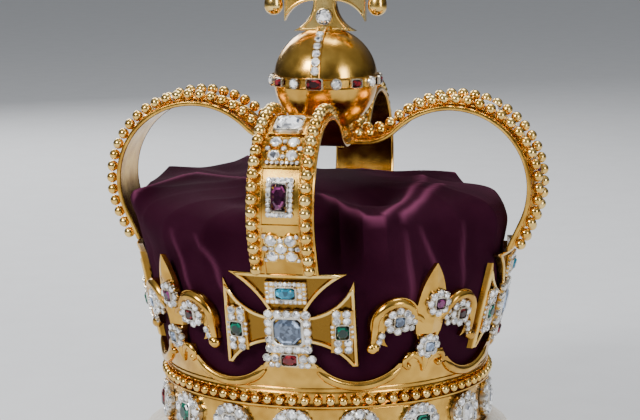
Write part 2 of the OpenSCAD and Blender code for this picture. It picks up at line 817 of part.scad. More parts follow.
circlet();
rim_beads();
circlet_mounts();
circlet_stones();
for (i = [0:3]) {
    cross(i);
    for (k = [0:4])
        cross_stone(i, k);
    arch(i);
    arch_beads(i);
    arch_stones(i);
    fleur(i + 1);
    fleur_stones(i + 1);
}
crossing();
monde();
monde_stones();
strap_stones();
top_cross();
top_cross_stones();
drop(-1);  // drop_left
drop(1);  // drop_right
cap();
ermine();
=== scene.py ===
"""Looks of the arched crown: gold, cut stones, velvet cap and fur trim.

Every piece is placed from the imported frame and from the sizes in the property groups.
Heights are measured from the middle of the ring of rim beads, lengths are in metres.
"""
import math

import bpy
from mathutils import Matrix, Vector


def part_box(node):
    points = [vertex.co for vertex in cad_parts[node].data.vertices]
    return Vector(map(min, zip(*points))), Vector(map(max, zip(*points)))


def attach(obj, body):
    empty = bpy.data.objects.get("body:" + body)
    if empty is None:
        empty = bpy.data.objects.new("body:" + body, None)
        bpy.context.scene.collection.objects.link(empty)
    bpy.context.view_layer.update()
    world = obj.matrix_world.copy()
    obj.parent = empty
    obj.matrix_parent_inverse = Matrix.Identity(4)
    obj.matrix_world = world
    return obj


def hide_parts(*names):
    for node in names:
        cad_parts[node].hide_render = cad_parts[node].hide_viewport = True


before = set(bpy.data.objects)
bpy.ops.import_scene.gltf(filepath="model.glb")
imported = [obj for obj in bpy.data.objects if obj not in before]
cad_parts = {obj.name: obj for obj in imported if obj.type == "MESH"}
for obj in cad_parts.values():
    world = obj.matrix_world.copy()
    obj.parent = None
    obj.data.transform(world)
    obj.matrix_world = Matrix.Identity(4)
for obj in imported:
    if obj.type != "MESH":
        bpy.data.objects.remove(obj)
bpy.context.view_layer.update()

bl_info = {
    "name": "Arched Crown",
    "version": (1, 0, 0),
    "blender": (4, 5, 0),
    "location": "View3D > Sidebar > Crown",
    "description": "Dresses an arched crown in gold, cut stones, velvet and fur",
    "category": "Object",
}

MM = 0.001
SIDES = ("front", "right", "back", "left")
SIDE_ANGLES = [math.radians(-90 + 90 * i) for i in range(4)]
FLEUR_ANGLES = [math.radians(-45 + 90 * i) for i in range(4)]
RIM_BEAD_R = (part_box("rim_beads")[1].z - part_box("rim_beads")[0].z) / 2
RING_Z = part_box("rim_beads")[0].z + RIM_BEAD_R
RING_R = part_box("rim_beads")[1].x - RIM_BEAD_R
BAND_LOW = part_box("circlet")[0].z
FUR_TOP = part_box("ermine")[1].z
BELT_T = 1.2 * MM
GLOBE_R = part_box("monde")[1].x - BELT_T
GLOBE_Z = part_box("monde")[0].z + GLOBE_R
TOP_HALF = 26 * MM
TOP_FACE = 3 * MM
TOP_MID_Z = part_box("top_cross")[0].z + TOP_HALF


def length(label, about, mm):
    """A length property whose default is given in millimetres."""
    return bpy.props.FloatProperty(name=label, description=about, default=mm * MM,
                                   unit="LENGTH", precision=4, min=0.0)


def angle(label, about, degrees):
    """An angle property whose default is given in degrees."""
    return bpy.props.FloatProperty(name=label, description=about,
                                   default=math.radians(degrees), subtype="ANGLE")


def colour(label, about, value):
    """A colour property."""
    return bpy.props.FloatVectorProperty(name=label, description=about, default=value,
                                         subtype="COLOR", size=3, min=0.0, max=1.0)


class CrownWall(bpy.types.PropertyGroup):
    """Sizes of the leaning wall with its crosses and fleurs."""
    inner_r: length("Wall Radius", "Inner radius of the wall at the rim beads", 99.8)
    lean: angle("Lean", "Outward lean of the wall", 12.5)
    plate_t: length("Plate", "Thickness of crosses and fleurs at their edges", 3.4)
    field_lift: length("Field", "Height of the sunk fields over the inner face", 2.2)
    frame_lift: length("Frames", "Height of the jewel frames over the inner face", 4.6)
    joint_z: length("Joint", "Height at which crosses and fleurs stand", 22)
    scallop_r: length("Scallop", "Radius of a scallop", 34)
    scallop_z: length("Scallop Centre", "Height of a scallop's centre", 46)
    cross_top: length("Cross Top", "Height of a cross's top edge", 81)
    cross_mid: length("Cross Middle", "Height of a cross's centre", 46)
    cross_half: length("Cross Half Width", "Half width over the side arms", 40)
    cross_tip: length("Top Arm Half Width", "Half width of the top arm at its tips", 35)
    arm_half: length("Arm Half", "Half height of a side arm at the middle", 8)
    leaf_top: length("Leaf Tip", "Height of a fleur's leaf tip", 84)
    leaf_half: length("Leaf Half Width", "Half width of a fleur's leaf", 10.5)
    petal_mid: length("Petal Middle", "Height of the petals' centres", 49)
    petal_x: length("Petal Reach", "Distance of a petal's centre from the leaf", 23.5)
    petal_r: length("Petal Radius", "Outer radius of a curled petal", 15.5)
    ball_r: length("Petal Ball", "Radius of the ball that ends a petal", 3.5)


class CrownArches(bpy.types.PropertyGroup):
    """Sizes of the half arches."""
    mid_z: length("Arch Middle", "Height of the main curve's centre", 120)
    radius: length("Arch Radius", "Radius of the main curve", 49.5)
    foot: angle("Foot", "Angle below the level where the curve turns straight", 25)
    dip: angle("Dip", "Angle past the crest where the curve turns back", 45)
    dip_r: length("Dip Radius", "Radius of the dip", 28)
    width: length("Arch Width", "Width of an arch", 40)
    half_t: length("Half Plate", "Half the thickness of an arch plate", 1.3)
    row: length("Bead Row", "Distance of a bead row from the arch's middle", 16)
    bead_r: length("Bead", "Radius of an arch bead", 3.5)
    pitch: length("Pitch", "Distance from bead to bead", 7.6)
    end: length("Crossing", "Distance from the axis where an arch ends", 20.3)


class CrownSoft(bpy.types.PropertyGroup):
    """Sizes of the velvet cap and the fur trim."""
    cap_top: length("Cap Edge", "Height of the cap's top edge", 112)
    cap_reach: length("Cap Reach", "Outward reach of the cap's top edge", 119.06)
    cap_mid: length("Cap Middle", "Height of the cap's middle", 121)
    cap_wall: length("Velvet", "Thickness of the velvet with its lining", 2)
    fur_in: length("Fur Inside", "Inner radius of the fur trim", 92)
    fur_out: length("Fur Outside", "Outer radius of the fur trim", 124)
    hair: length("Hair", "Length of the fur's hairs", 9.5)
    hairs: bpy.props.IntProperty(name="Hairs", description="Hairs for each square metre",
                                 default=1000000, min=0)


class CrownColours(bpy.types.PropertyGroup):
    """Colours of the crown's materials."""
    gold: colour("Gold", "Polished gold", (0.80, 0.47, 0.095))
    # Paler gold that paints in the highlights of the beads and raised edges.
    gold_painted_highlight: colour("Bright Gold", "Gold of the beads and raised edges", (0.95, 0.69, 0.25))
    gold_deep: colour("Deep Gold", "Gold in its darker patches", (0.50, 0.26, 0.045))
    silver: colour("Settings", "Pale metal of the small settings", (0.86, 0.83, 0.76))
    clear: colour("Clear Stones", "Brightest facets of the clear stones", (0.93, 0.94, 0.97))
    blue: colour("Blue Stones", "Pale blue stones", (0.42, 0.55, 0.80))
    aqua: colour("Aqua Stones", "Aqua stones", (0.03, 0.42, 0.66))
    green: colour("Green Stones", "Green stones", (0.005, 0.16, 0.10))
    red: colour("Red Stones", "Red stones", (0.20, 0.004, 0.010))
    purple: colour("Purple Stones", "Purple stones", (0.18, 0.025, 0.12))
    amber: colour("Amber Stones", "Amber stones", (0.55, 0.20, 0.03))
    velvet: colour("Velvet", "Velvet in its folds", (0.021, 0.0018, 0.0092))
    ridge: colour("Ridges", "Velvet on its lit ridges", (0.170, 0.038, 0.090))
    nap: colour("Nap", "Sheen on the velvet's pile", (0.42, 0.12, 0.24))
    fur: colour("Fur", "White fur", (0.88, 0.85, 0.79))
    floor: colour("Floor", "Pale floor", (0.72, 0.73, 0.75))


# Shapes

class Shape:
    """Points and faces that are gathered before they become one mesh."""

    def __init__(self):
        self.points = []
        self.faces = []

    def add(self, points, faces):
        """Adds points, and faces that count from the first of them."""
        base = len(self.points)
        self.points += [Vector(p) for p in points]
        self.faces += [[base + i for i in f] for f in faces]

    def mesh(self, name, smooth=True):
        """The mesh, smooth but for its sharp edges, or faceted."""
        mesh = bpy.data.meshes.new(name)
        mesh.from_pydata(self.points, [], self.faces)
        mesh.polygons.foreach_set("use_smooth", [smooth] * len(mesh.polygons))
        mesh.update()
        if smooth:
            mesh.set_sharp_from_angle(angle=math.radians(42))
        return mesh


def lattice(rows, columns, wrap_rows=False, wrap_columns=False):
    """Faces of a grid of points, row after row."""
    last_row = rows if wrap_rows else rows - 1
    last_column = columns if wrap_columns else columns - 1
    return [[i * columns + j, i * columns + (j + 1) % columns,
             (i + 1) % rows * columns + (j + 1) % columns, (i + 1) % rows * columns + j]
            for i in range(last_row) for j in range(last_column)]


def sweep(shape, line, section, sizes=None, closed=False):
    """Runs a closed section, given as (side, out) pairs, along a line of (point, out) pairs.

    The sizes scale the section at each point.
    """
    path = [point for point, _ in line]
    n = len(path)
    m = len(section)
    points = []
    for i in range(n):
        before = path[(i - 1) % n] if closed or i else path[0]
        after = path[(i + 1) % n] if closed or i < n - 1 else path[-1]
        ahead = (after - before).normalized()
        side = ahead.cross(line[i][1]).normalized()
        out = side.cross(ahead)
        size = sizes[i] if sizes else 1.0
        points += [path[i] + size * (u * side + v * out) for u, v in section]
    faces = [f[::-1] for f in lattice(n, m, closed, True)]
    if not closed:
        faces += [list(range(m)), list(range((n - 1) * m, n * m))[::-1]]
    shape.add(points, faces)


def round_section(half_w, height, sides=10):
    """Oval section, as (side, out) pairs, centred on the path."""
    turns = [2 * math.pi * k / sides for k in range(sides)]
    return [(half_w * math.cos(t), height * math.sin(t)) for t in turns]


def arc(centre, radius, start, end, steps):
    """Points on a flat arc; the angles are in degrees."""
    turns = [math.radians(start + (end - start) * k / steps) for k in range(steps + 1)]
    return [(centre[0] + radius * math.cos(t), centre[1] + radius * math.sin(t)) for t in turns]


def fine(flat, step, closed=False):
    """Puts more points on a flat line, so that it can follow a curved wall."""
    line = []
    ends = flat[1:] + flat[:1] if closed else flat[1:]
    for (x0, y0), (x1, y1) in zip(flat, ends):
        count = max(1, math.ceil(math.hypot(x1 - x0, y1 - y0) / step))
        line += [(x0 + (x1 - x0) * k / count, y0 + (y1 - y0) * k / count) for k in range(count)]
    return line if closed else line + [flat[-1]]


def ball(shape, centre, radius, rings=8, sides=14):
    """A round ball with closed poles."""
    points = [centre + Vector((0, 0, -radius)), centre + Vector((0, 0, radius))]
    for i in range(1, rings):
        up = math.pi * i / rings
        points += [centre + radius * Vector((math.sin(up) * math.cos(2 * math.pi * k / sides),
                                             math.sin(up) * math.sin(2 * math.pi * k / sides),
                                             -math.cos(up))) for k in range(sides)]
    last = 2 + (rings - 2) * sides
    faces = [[0, 2 + (k + 1) % sides, 2 + k] for k in range(sides)]
    faces += [[1, last + k, last + (k + 1) % sides] for k in range(sides)]
    faces += [[2 + i for i in f] for f in lattice(rings - 1, sides, False, True)]
    shape.add(points, faces)


def lathe(shape, section, sides, centre=Vector((0, 0, 0)), closed=True):
    """Turns a section of (radius, height) points round the vertical axis."""
    rows = [[centre + Vector((r * math.cos(2 * math.pi * k / sides),
                              r * math.sin(2 * math.pi * k / sides), z)) for r, z in section]
            for k in range(sides)]
    faces = lattice(sides, len(section), True, closed)
    shape.add([p for row in rows for p in row], [f[::-1] for f in faces])


# Places on the crown

def cone_r(wall, z):
    """Inner radius of the leaning wall at a height."""
    return wall.inner_r + z * math.tan(wall.lean)


def on_cone(wall, turn, across, z, lift):
    """Point that a flat drawing reaches on the wall, and the way out there."""
    radius = cone_r(wall, z) + lift
    side = math.asin(across / radius)
    flat = Vector((math.cos(turn + side), math.sin(turn + side), 0))
    point = radius * flat + Vector((0, 0, RING_Z + z))
    return point, flat * math.cos(wall.lean) - Vector((0, 0, math.sin(wall.lean)))


def basis(right, up, out, place):
    """Matrix whose axes are right, up and out."""
    turn = Matrix((right, up, out)).transposed().to_4x4()
    return Matrix.Translation(place) @ turn


def wall_seat(wall, turn, across, z, lift):
    """Seat on the leaning wall: X along it, Y up it, Z out of it."""
    point, out = on_cone(wall, turn, across, z, 0)
    right = Vector((0, 0, 1)).cross(out).normalized()
    return basis(right, out.cross(right), out, point + lift * out)


def band_seat(turn, z, radius):
    """Seat on an upright band: X along it, Y up, Z out."""
    out = Vector((math.cos(turn), math.sin(turn), 0))
    right = Vector((-math.sin(turn), math.cos(turn), 0))
    return basis(right, Vector((0, 0, 1)), out, radius * out + Vector((0, 0, RING_Z + z)))


def globe_seat(front, rise):
    """Seat on the globe's strap at a height angle, at the front (1) or the back (-1)."""
    out = Vector((0, -front * math.cos(rise), math.sin(rise)))
    right = Vector((front, 0, 0))
    place = (GLOBE_R + 0.3 * MM) * out + Vector((0, 0, GLOBE_Z))
    return basis(right, out.cross(right), out, place)


def arch_reach(wall, arches):
    """Distance of the arch's main centre from the axis: its foot stands on the cross."""
    foot = arches.foot
    run = (arches.mid_z - arches.radius * math.sin(foot) - wall.cross_top) / math.cos(foot)
    return (cone_r(wall, wall.cross_top) + wall.plate_t / 2
            - arches.radius * math.cos(foot) + run * math.sin(foot))


def arch_profile(wall, arches, lift, step=math.radians(3)):
    """Side view of an arch from foot to crossing, as (reach, height, out) in its plane."""
    reach = arch_reach(wall, arches)
    radius = arches.radius + lift
    foot_out = Vector((math.cos(arches.foot), -math.sin(arches.foot)))
    down = Vector((-math.sin(arches.foot), -math.cos(arches.foot)))
    centre = Vector((reach, arches.mid_z))
    start = centre + radius * foot_out
    run = (start.y - wall.cross_top) / math.cos(arches.foot)
    line = [(start + run * share * down, foot_out) for share in (1, 0.66, 0.33)]
    end = math.pi / 2 + arches.dip
    count = math.ceil((end + arches.foot) / step)
    for k in range(count + 1):
        t = -arches.foot + (end + arches.foot) * k / count
        out = Vector((math.cos(t), math.sin(t)))
        line.append((centre + radius * out, out))
    both = arches.radius + arches.dip_r
    dip = centre + both * Vector((-math.sin(arches.dip), math.cos(arches.dip)))
    inner = arches.dip_r - lift
    count = math.ceil(arches.dip / step)
    for k in range(1, count + 1):
        t = arches.dip * (1 - k / count)
        out = Vector((-math.sin(t), math.cos(t)))
        line.append((dip - inner * out, out))
    line.append((Vector((arches.end, dip.y - inner)), Vector((0, 1))))
    return line


def in_plane(turn, flat, across):
    """Point of an arch's side view, in the crown's frame."""
    out = Vector((math.cos(turn), math.sin(turn), 0))
    side = Vector((-math.sin(turn), math.cos(turn), 0))
    return flat.x * out + across * side + Vector((0, 0, RING_Z + flat.y))


def arch_seat(wall, arches, turn, along, across, lift):
    """Seat on the arch's outer face at an angle of its main curve, in degrees."""
    t = math.radians(along)
    foot = max(t, -arches.foot)
    out = Vector((math.cos(foot), math.sin(foot)))
    up = Vector((-out.y, out.x))
    radius = arches.radius + arches.half_t + lift
    centre = Vector((arch_reach(wall, arches), arches.mid_z))
    flat = centre + radius * out - (foot - t) * radius * up
    origin = in_plane(turn, Vector((0, 0)), 0)
    return basis(in_plane(turn, Vector((0, 0)), 1) - origin, in_plane(turn, up, 0) - origin,
                 in_plane(turn, out, 0) - origin, in_plane(turn, flat, across))


def spread(line, pitch, margin):
    """Even places along a line of (point, out) pairs, as (point, out)."""
    ends = [0.0]
    for a, b in zip(line, line[1:]):
        ends.append(ends[-1] + (b[0] - a[0]).length)
    count = round((ends[-1] - 2 * margin) / pitch)
    places = []
    for k in range(count + 1):
        want = margin + (ends[-1] - 2 * margin) * k / count
        i = max(j for j in range(len(ends) - 1) if ends[j] <= want + 1e-9)
        share = (want - ends[i]) / (ends[i + 1] - ends[i])
        point = line[i][0].lerp(line[i + 1][0], share)
        places.append((point, line[i][1].lerp(line[i + 1][1], share).normalized()))
    return places


# Materials

def add(tree, kind, **values):
    """Adds a node; each value is an attribute of the node or, by name, an input."""
    node = tree.nodes.new(kind)
    for key, value in values.items():
        if hasattr(node, key):
            setattr(node, key, value)
        else:
            node.inputs[key.replace("_", " ").title()].default_value = value
    return node


def new_material(name):
    """Empty material with a Principled shader, and its node tree."""
    material = bpy.data.materials.new(name)
    material.use_nodes = True
    tree = material.node_tree
    return material, tree, tree.nodes["Principled BSDF"]


def noise(tree, scale, detail=3.0, kind="ShaderNodeTexNoise", output=0):
    """Noise in the crown's own coordinates."""
    place = add(tree, "ShaderNodeTexCoord")
    grain = add(tree, kind)
    grain.inputs["Scale"].default_value = scale
    grain.inputs["Detail"].default_value = detail
    tree.links.new(place.outputs["Object"], grain.inputs["Vector"])
    return grain.outputs[output]


def spread_value(tree, source, low, high, start=0.35, end=0.65):
    """Maps a source from its start and end to a low and a high value."""
    remap = add(tree, "ShaderNodeMapRange")
    remap.inputs["From Min"].default_value = start
    remap.inputs["From Max"].default_value = end
    remap.inputs["To Min"].default_value = low
    remap.inputs["To Max"].default_value = high
    tree.links.new(source, remap.inputs["Value"])
    return remap.outputs["Result"]


def blend(tree, share, first, second):
    """Mixes two colours by a share."""
    mix = add(tree, "ShaderNodeMix", data_type="RGBA")
    for socket, value in ((6, first), (7, second)):
        if isinstance(value, bpy.types.NodeSocket):
            tree.links.new(value, mix.inputs[socket])
        else:
            mix.inputs[socket].default_value = (*value, 1)
    tree.links.new(share, mix.inputs[0])
    return mix.outputs[2]


def bump(tree, shader, source, distance, strength=1.0):
    """Adds a bump from a noise."""
    node = add(tree, "ShaderNodeBump")
    node.inputs["Distance"].default_value = distance
    node.inputs["Strength"].default_value = strength
    tree.links.new(source, node.inputs["Height"])
    tree.links.new(node.outputs["Normal"], shader.inputs["Normal"])


def metal(name, bright, deep, smooth, rough, dent, field_shade=None):
    """Polished metal with deeper patches, handling marks, soft hammering and, when asked, painted
    shade that darkens the sunk fields.
    """
    material, tree, shader = new_material(name)
    patches = spread_value(tree, noise(tree, 70, 2), 0, 1)
    marks = spread_value(tree, noise(tree, 130, 2), smooth, rough)
    tone = blend(tree, patches, bright, deep)
    # Painted shade: the sunk fields are darkened to half the deep gold.
    if field_shade:
        tone = blend(tree, field_shade_share(tree, *field_shade), tone, [0.5 * c for c in deep])
    shader.inputs["Metallic"].default_value = 1.0
    tree.links.new(tone, shader.inputs["Base Color"])
    tree.links.new(marks, shader.inputs["Roughness"])
    bump(tree, shader, noise(tree, 90, 1), dent, 0.3)
    return material


def compute(tree, operation, first, second):
    """One step of arithmetic on outputs or plain values."""
    node = add(tree, "ShaderNodeMath", operation=operation)
    for socket, value in zip(node.inputs, (first, second)):
        if isinstance(value, bpy.types.NodeSocket):
            tree.links.new(value, socket)
        else:
            socket.default_value = value
    return node.outputs[0]


def field_shade_share(tree, wall_r, slope, low, high):
    """How far a point of the leaning wall lies between a low and a high lift, high giving 0; this
    share masks the painted shade of the sunk fields.
    """
    place = add(tree, "ShaderNodeTexCoord")
    split = add(tree, "ShaderNodeSeparateXYZ")
    tree.links.new(place.outputs["Object"], split.inputs[0])
    x, y, z = split.outputs
    reach = compute(tree, "SQRT", compute(tree, "ADD", compute(tree, "MULTIPLY", x, x),
                                          compute(tree, "MULTIPLY", y, y)), 0.0)
    rise = compute(tree, "MULTIPLY", compute(tree, "SUBTRACT", z, RING_Z), slope)
    lift = compute(tree, "SUBTRACT", compute(tree, "SUBTRACT", reach, wall_r), rise)
    return spread_value(tree, lift, 1, 0, low, high)


def gem(name, bright, dark, share_dark=0.45, ior=1.55):
    """Cut stone with painted light: facets painted brighter or darker by the facet attribute, and
    painted sparkle in small cells.
    """
    material, tree, shader = new_material(name)
    facet = add(tree, "ShaderNodeAttribute", attribute_name="facet")
    dim = spread_value(tree, facet.outputs["Fac"], 0, 1, share_dark, share_dark + 0.25)
    # Painted sparkle: small cells make parts of each stone brighter or darker.
    cells = noise(tree, 420, 0, "ShaderNodeTexVoronoi", "Color")
    painted_sparkle = spread_value(tree, cells, 0.45, 1.5, 0.2, 0.8)
    tone = blend(tree, dim, dark, bright)
    scaled = add(tree, "ShaderNodeMix", data_type="RGBA", blend_type="MULTIPLY")
    scaled.inputs[0].default_value = 1.0
    tree.links.new(tone, scaled.inputs[6])
    tree.links.new(painted_sparkle, scaled.inputs[7])
    tree.links.new(scaled.outputs[2], shader.inputs["Base Color"])
    shader.inputs["Roughness"].default_value = 0.04
    shader.inputs["IOR"].default_value = ior
    shader.inputs["Coat Weight"].default_value = 0.15
    shader.inputs["Coat Roughness"].default_value = 0.02
    return material


def velvet(colours):
    """Deep pile, painted lighter on its lit ridges and creases, that shines at grazing angles."""
    material, tree, shader = new_material("velvet")
    # Painted light: ridges and creases that catch the light get the ridge colour, by the attribute
    # the cap stores.
    nap = add(tree, "ShaderNodeAttribute", attribute_name="nap")
    brushed = spread_value(tree, noise(tree, 30, 4), 0.0, 0.06)
    lift = add(tree, "ShaderNodeMath", operation="ADD", use_clamp=True)
    tree.links.new(nap.outputs["Fac"], lift.inputs[0])
    tree.links.new(brushed, lift.inputs[1])
    tree.links.new(blend(tree, lift.outputs[0], colours.velvet, colours.ridge),
                   shader.inputs["Base Color"])
    shader.inputs["Roughness"].default_value = 0.9
    shader.inputs["Specular IOR Level"].default_value = 0.05
    shader.inputs["Sheen Weight"].default_value = 0.09
    shader.inputs["Sheen Roughness"].default_value = 0.3
    shader.inputs["Sheen Tint"].default_value = (*colours.nap, 1)
    bump(tree, shader, noise(tree, 2600, 2), 0.0004, 0.5)
    return material


def fur(colours):
    """White fur with warmer and greyer hairs."""
    material, tree, shader = new_material("fur")
    shade = spread_value(tree, noise(tree, 620, 3), 0, 1)
    warm = [c * f for c, f in zip(colours.fur, (0.80, 0.74, 0.66))]
    tree.links.new(blend(tree, shade, colours.fur, warm), shader.inputs["Base Color"])
    shader.inputs["Roughness"].default_value = 0.7
    shader.inputs["Sheen Weight"].default_value = 0.3
    bump(tree, shader, noise(tree, 1800, 2), 0.0005, 0.5)
    return material


MATERIALS = {}


def make_materials(colours, wall):
    """All the crown's materials, by name."""
    dim_silver = (0.50, 0.42, 0.30)
    dim_facet = (0.10, 0.11, 0.14)
    fade = 0.25 * MM
    MATERIALS["gold"] = metal("gold", colours.gold, colours.gold_deep,
                              smooth=0.14, rough=0.26, dent=0.2 * MM)
    # Gold of the crosses, with painted shade in their sunk fields.
    MATERIALS["wall_gold"] = metal("wall_gold", colours.gold, colours.gold_deep,
                                   smooth=0.16, rough=0.30, dent=0.2 * MM,
                                   field_shade=(wall.inner_r, math.tan(wall.lean),
                                         wall.field_lift + fade, wall.plate_t - fade))
    # Paler gold, a lit copy of the gold: its colour paints in highlights on beads, raised edges,
    # the top cross and drops.
    MATERIALS["bright_gold"] = metal("bright_gold", colours.gold_painted_highlight, colours.gold,
                                     smooth=0.16, rough=0.26, dent=0.1 * MM)
    MATERIALS["silver"] = metal("silver", colours.silver, dim_silver,
                                smooth=0.15, rough=0.35, dent=0.1 * MM)
    MATERIALS["clear"] = gem("clear", colours.clear, dim_facet, share_dark=0.06, ior=2.4)
    for name, dark in (("blue", 0.25), ("aqua", 0.35), ("green", 0.12), ("red", 0.12),
                       ("purple", 0.15), ("amber", 0.25)):
        bright = getattr(colours, name)
        MATERIALS[name] = gem(name, bright, [dark * c for c in bright])
    MATERIALS["velvet"] = velvet(colours)
    MATERIALS["fur"] = fur(colours)


# Pieces

def finish_piece(name, mesh, material, slot, *nodes):
    """Makes the object, gives it its material and ties it to the frame."""
    piece = bpy.data.objects.new(name, mesh)
    bpy.context.scene.collection.objects.link(piece)
    mesh.materials.clear()
    mesh.materials.append(MATERIALS[material])
    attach(piece, "root")
    if nodes:
        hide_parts(*nodes)
    return piece


def paint_nodes(material, *nodes):
    """Gives CAD nodes that stay a better material."""
    for name in nodes:
        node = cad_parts[name]
        node.data.materials.clear()
        node.data.materials.append(MATERIALS[material])


def new_tree(name, **inputs):
    """Geometry Nodes tree with named inputs, given with their kinds, and its two ends."""
    tree = bpy.data.node_groups.new(name, "GeometryNodeTree")
    for label, kind in {"Geometry": "Geometry", **inputs}.items():
        tree.interface.new_socket(name=label, in_out="INPUT", socket_type="NodeSocket" + kind)
    tree.interface.new_socket(name="Geometry", in_out="OUTPUT",
                              socket_type="NodeSocketGeometry")
    return tree, add(tree, "NodeGroupInput"), add(tree, "NodeGroupOutput")


def wire(tree, *links):
    """Links outputs to inputs, each given as (node, output, node, input)."""
    for source, output, target, socket in links:
        tree.links.new(source.outputs[output], target.inputs[socket])


def repeat_tree():
    """Geometry Nodes: sets a piece on every point, turned and sized by its attributes."""
    tree, start, end = new_tree("set_on_points", Piece="Object", Tilt="Float", Seed="Int",
                                Material="Material")
    info = add(tree, "GeometryNodeObjectInfo")
    turn = add(tree, "GeometryNodeInputNamedAttribute", data_type="FLOAT_VECTOR")
    turn.inputs["Name"].default_value = "turn"
    size = add(tree, "GeometryNodeInputNamedAttribute", data_type="FLOAT_VECTOR")
    size.inputs["Name"].default_value = "size"
    rotation = add(tree, "FunctionNodeEulerToRotation")
    place = add(tree, "GeometryNodeInstanceOnPoints")
    low = add(tree, "ShaderNodeMath", operation="MULTIPLY")
    low.inputs[1].default_value = -1.0
    wobble = add(tree, "FunctionNodeRandomValue", data_type="FLOAT_VECTOR")
    rock = add(tree, "GeometryNodeRotateInstances")
    real = add(tree, "GeometryNodeRealizeInstances")
    # A random value on each face, which the stone materials use for painted light on the facets.
    shade = add(tree, "FunctionNodeRandomValue", data_type="FLOAT")
    facet = add(tree, "GeometryNodeStoreNamedAttribute", data_type="FLOAT", domain="FACE")
    facet.inputs["Name"].default_value = "facet"
    paint = add(tree, "GeometryNodeSetMaterial")
    wire(tree, (start, "Piece", info, "Object"),
         (start, "Geometry", place, "Points"), (info, "Geometry", place, "Instance"),
         (turn, "Attribute", rotation, "Euler"), (rotation, "Rotation", place, "Rotation"),
         (size, "Attribute", place, "Scale"), (start, "Tilt", low, 0),
         (low, 0, wobble, "Min"), (start, "Tilt", wobble, "Max"), (start, "Seed", wobble, "Seed"),
         (place, "Instances", rock, "Instances"), (wobble, "Value", rock, "Rotation"),
         (rock, "Instances", real, "Geometry"), (real, "Geometry", facet, "Geometry"),
         (start, "Seed", shade, "Seed"), (shade, 1, facet, "Value"),
         (facet, "Geometry", paint, "Geometry"), (start, "Material", paint, "Material"),
         (paint, "Geometry", end, "Geometry"))
    return tree


def run_tree(tree, base, values):
    """Runs a tree on a mesh with its inputs set by name, and returns the plain result."""
    holder = bpy.data.objects.new("holder", base)
    bpy.context.scene.collection.objects.link(holder)
    modifier = holder.modifiers.new("nodes", "NODES")
    modifier.node_group = tree
    for item in tree.interface.items_tree:
        if item.in_out == "INPUT" and item.name in values:
            modifier[item.identifier] = values[item.name]
    graph = bpy.context.evaluated_depsgraph_get()
    graph.update()
    mesh = bpy.data.meshes.new_from_object(holder.evaluated_get(graph))
    bpy.data.objects.remove(holder)
    return mesh


def set_on(name, seats, pattern, material, slot, nodes=(), tilt=0.0, seed=1):
    """One piece made of a pattern mesh that is set on many seats.

    A seat is a matrix and a size, a number or one for each of the pattern's axes.
    """
    base = bpy.data.meshes.new(name + "_seats")
    base.from_pydata([m.to_translation() for m, _ in seats], [], [])
    turn = base.attributes.new("turn", "FLOAT_VECTOR", "POINT")
    size = base.attributes.new("size", "FLOAT_VECTOR", "POINT")
    for i, (m, s) in enumerate(seats):
        turn.data[i].vector = m.to_euler()
        size.data[i].vector = s if hasattr(s, "__len__") else (s, s, s)
    shown = bpy.data.objects.new("pattern", pattern)
    bpy.context.scene.collection.objects.link(shown)
    if "set_on_points" not in bpy.data.node_groups:
        repeat_tree()
    mesh = run_tree(bpy.data.node_groups["set_on_points"], base,
                    {"Piece": shown, "Tilt": tilt, "Seed": seed,
                     "Material": MATERIALS[material]})
    bpy.data.objects.remove(shown)
    mesh.name = name
    return finish_piece(name, mesh, material, slot, *nodes)


# Patterns that repeat

def bead_pattern():
    """Round bead of radius 1."""
    shape = Shape()
    ball(shape, Vector((0, 0, 0)), 1.0, 10, 18)
    return shape.mesh("bead")


def ring_points(count, radius, z, shift=0.0):
    """Points round the pattern's axis."""
    turns = [2 * math.pi * (k + shift) / count for k in range(count)]
    return [Vector((radius * math.cos(t), radius * math.sin(t), z)) for t in turns]


def cut_square(half, corner):
    """Square with cut corners, as eight points."""
    low = half - corner
    return [(low, -half), (half, -low), (half, low), (low, half), (-low, half), (-half, low),
            (-half, -low), (-low, -half)]


def brilliant_pattern():
    """Round cut stone of diameter 1 with a table and 24 crown facets, standing on Z = 0."""
    shape = Shape()
    n = 8
    points = (ring_points(n, 0.42, 0.0) + ring_points(n, 0.5, 0.16)
              + ring_points(n, 0.42, 0.31, 0.5) + ring_points(n, 0.27, 0.40))
    faces = [list(range(n))[::-1], [3 * n + k for k in range(n)]]
    for k in range(n):
        j = (k + 1) % n
        faces += [[k, j, n + j, n + k], [n + k, n + j, 2 * n + k],
                  [n + k, 2 * n + k, 3 * n + k, 2 * n + (k - 1) % n],
                  [2 * n + k, 3 * n + j, 3 * n + k]]
    shape.add(points, faces)
    return shape.mesh("brilliant", smooth=False)


def step_cut_pattern():
    """Step cut stone, 1 by 1 by 1, with cut corners, three steps and a table."""
    shape = Shape()
    steps = ((0.96, 0.0), (1.0, 0.35), (0.90, 0.62), (0.76, 0.85), (0.58, 1.0))
    ring = cut_square(0.5, 0.27)
    n = len(ring)
    points = [Vector((s * x, s * y, z)) for s, z in steps for x, y in ring]
    faces = lattice(len(steps), n, False, True)
    faces += [list(range(n))[::-1], [(len(steps) - 1) * n + k for k in range(n)]]
    shape.add(points, faces)
    return shape.mesh("step_cut", smooth=False)


def collet_pattern():
    """Round collet of inner diameter 1 with a rolled lip and four claws."""
    shape = Shape()
    sides = 12
    section = [(0.46, -0.2), (0.62, -0.2), (0.60, 0.16), (0.57, 0.24), (0.51, 0.24), (0.48, 0.1)]
    lathe(shape, section, sides)
    for k in range(4):
        t = math.pi / 4 + math.pi / 2 * k
        ball(shape, Vector((0.49 * math.cos(t), 0.49 * math.sin(t), 0.26)), 0.11, 4, 6)
    return shape.mesh("collet")


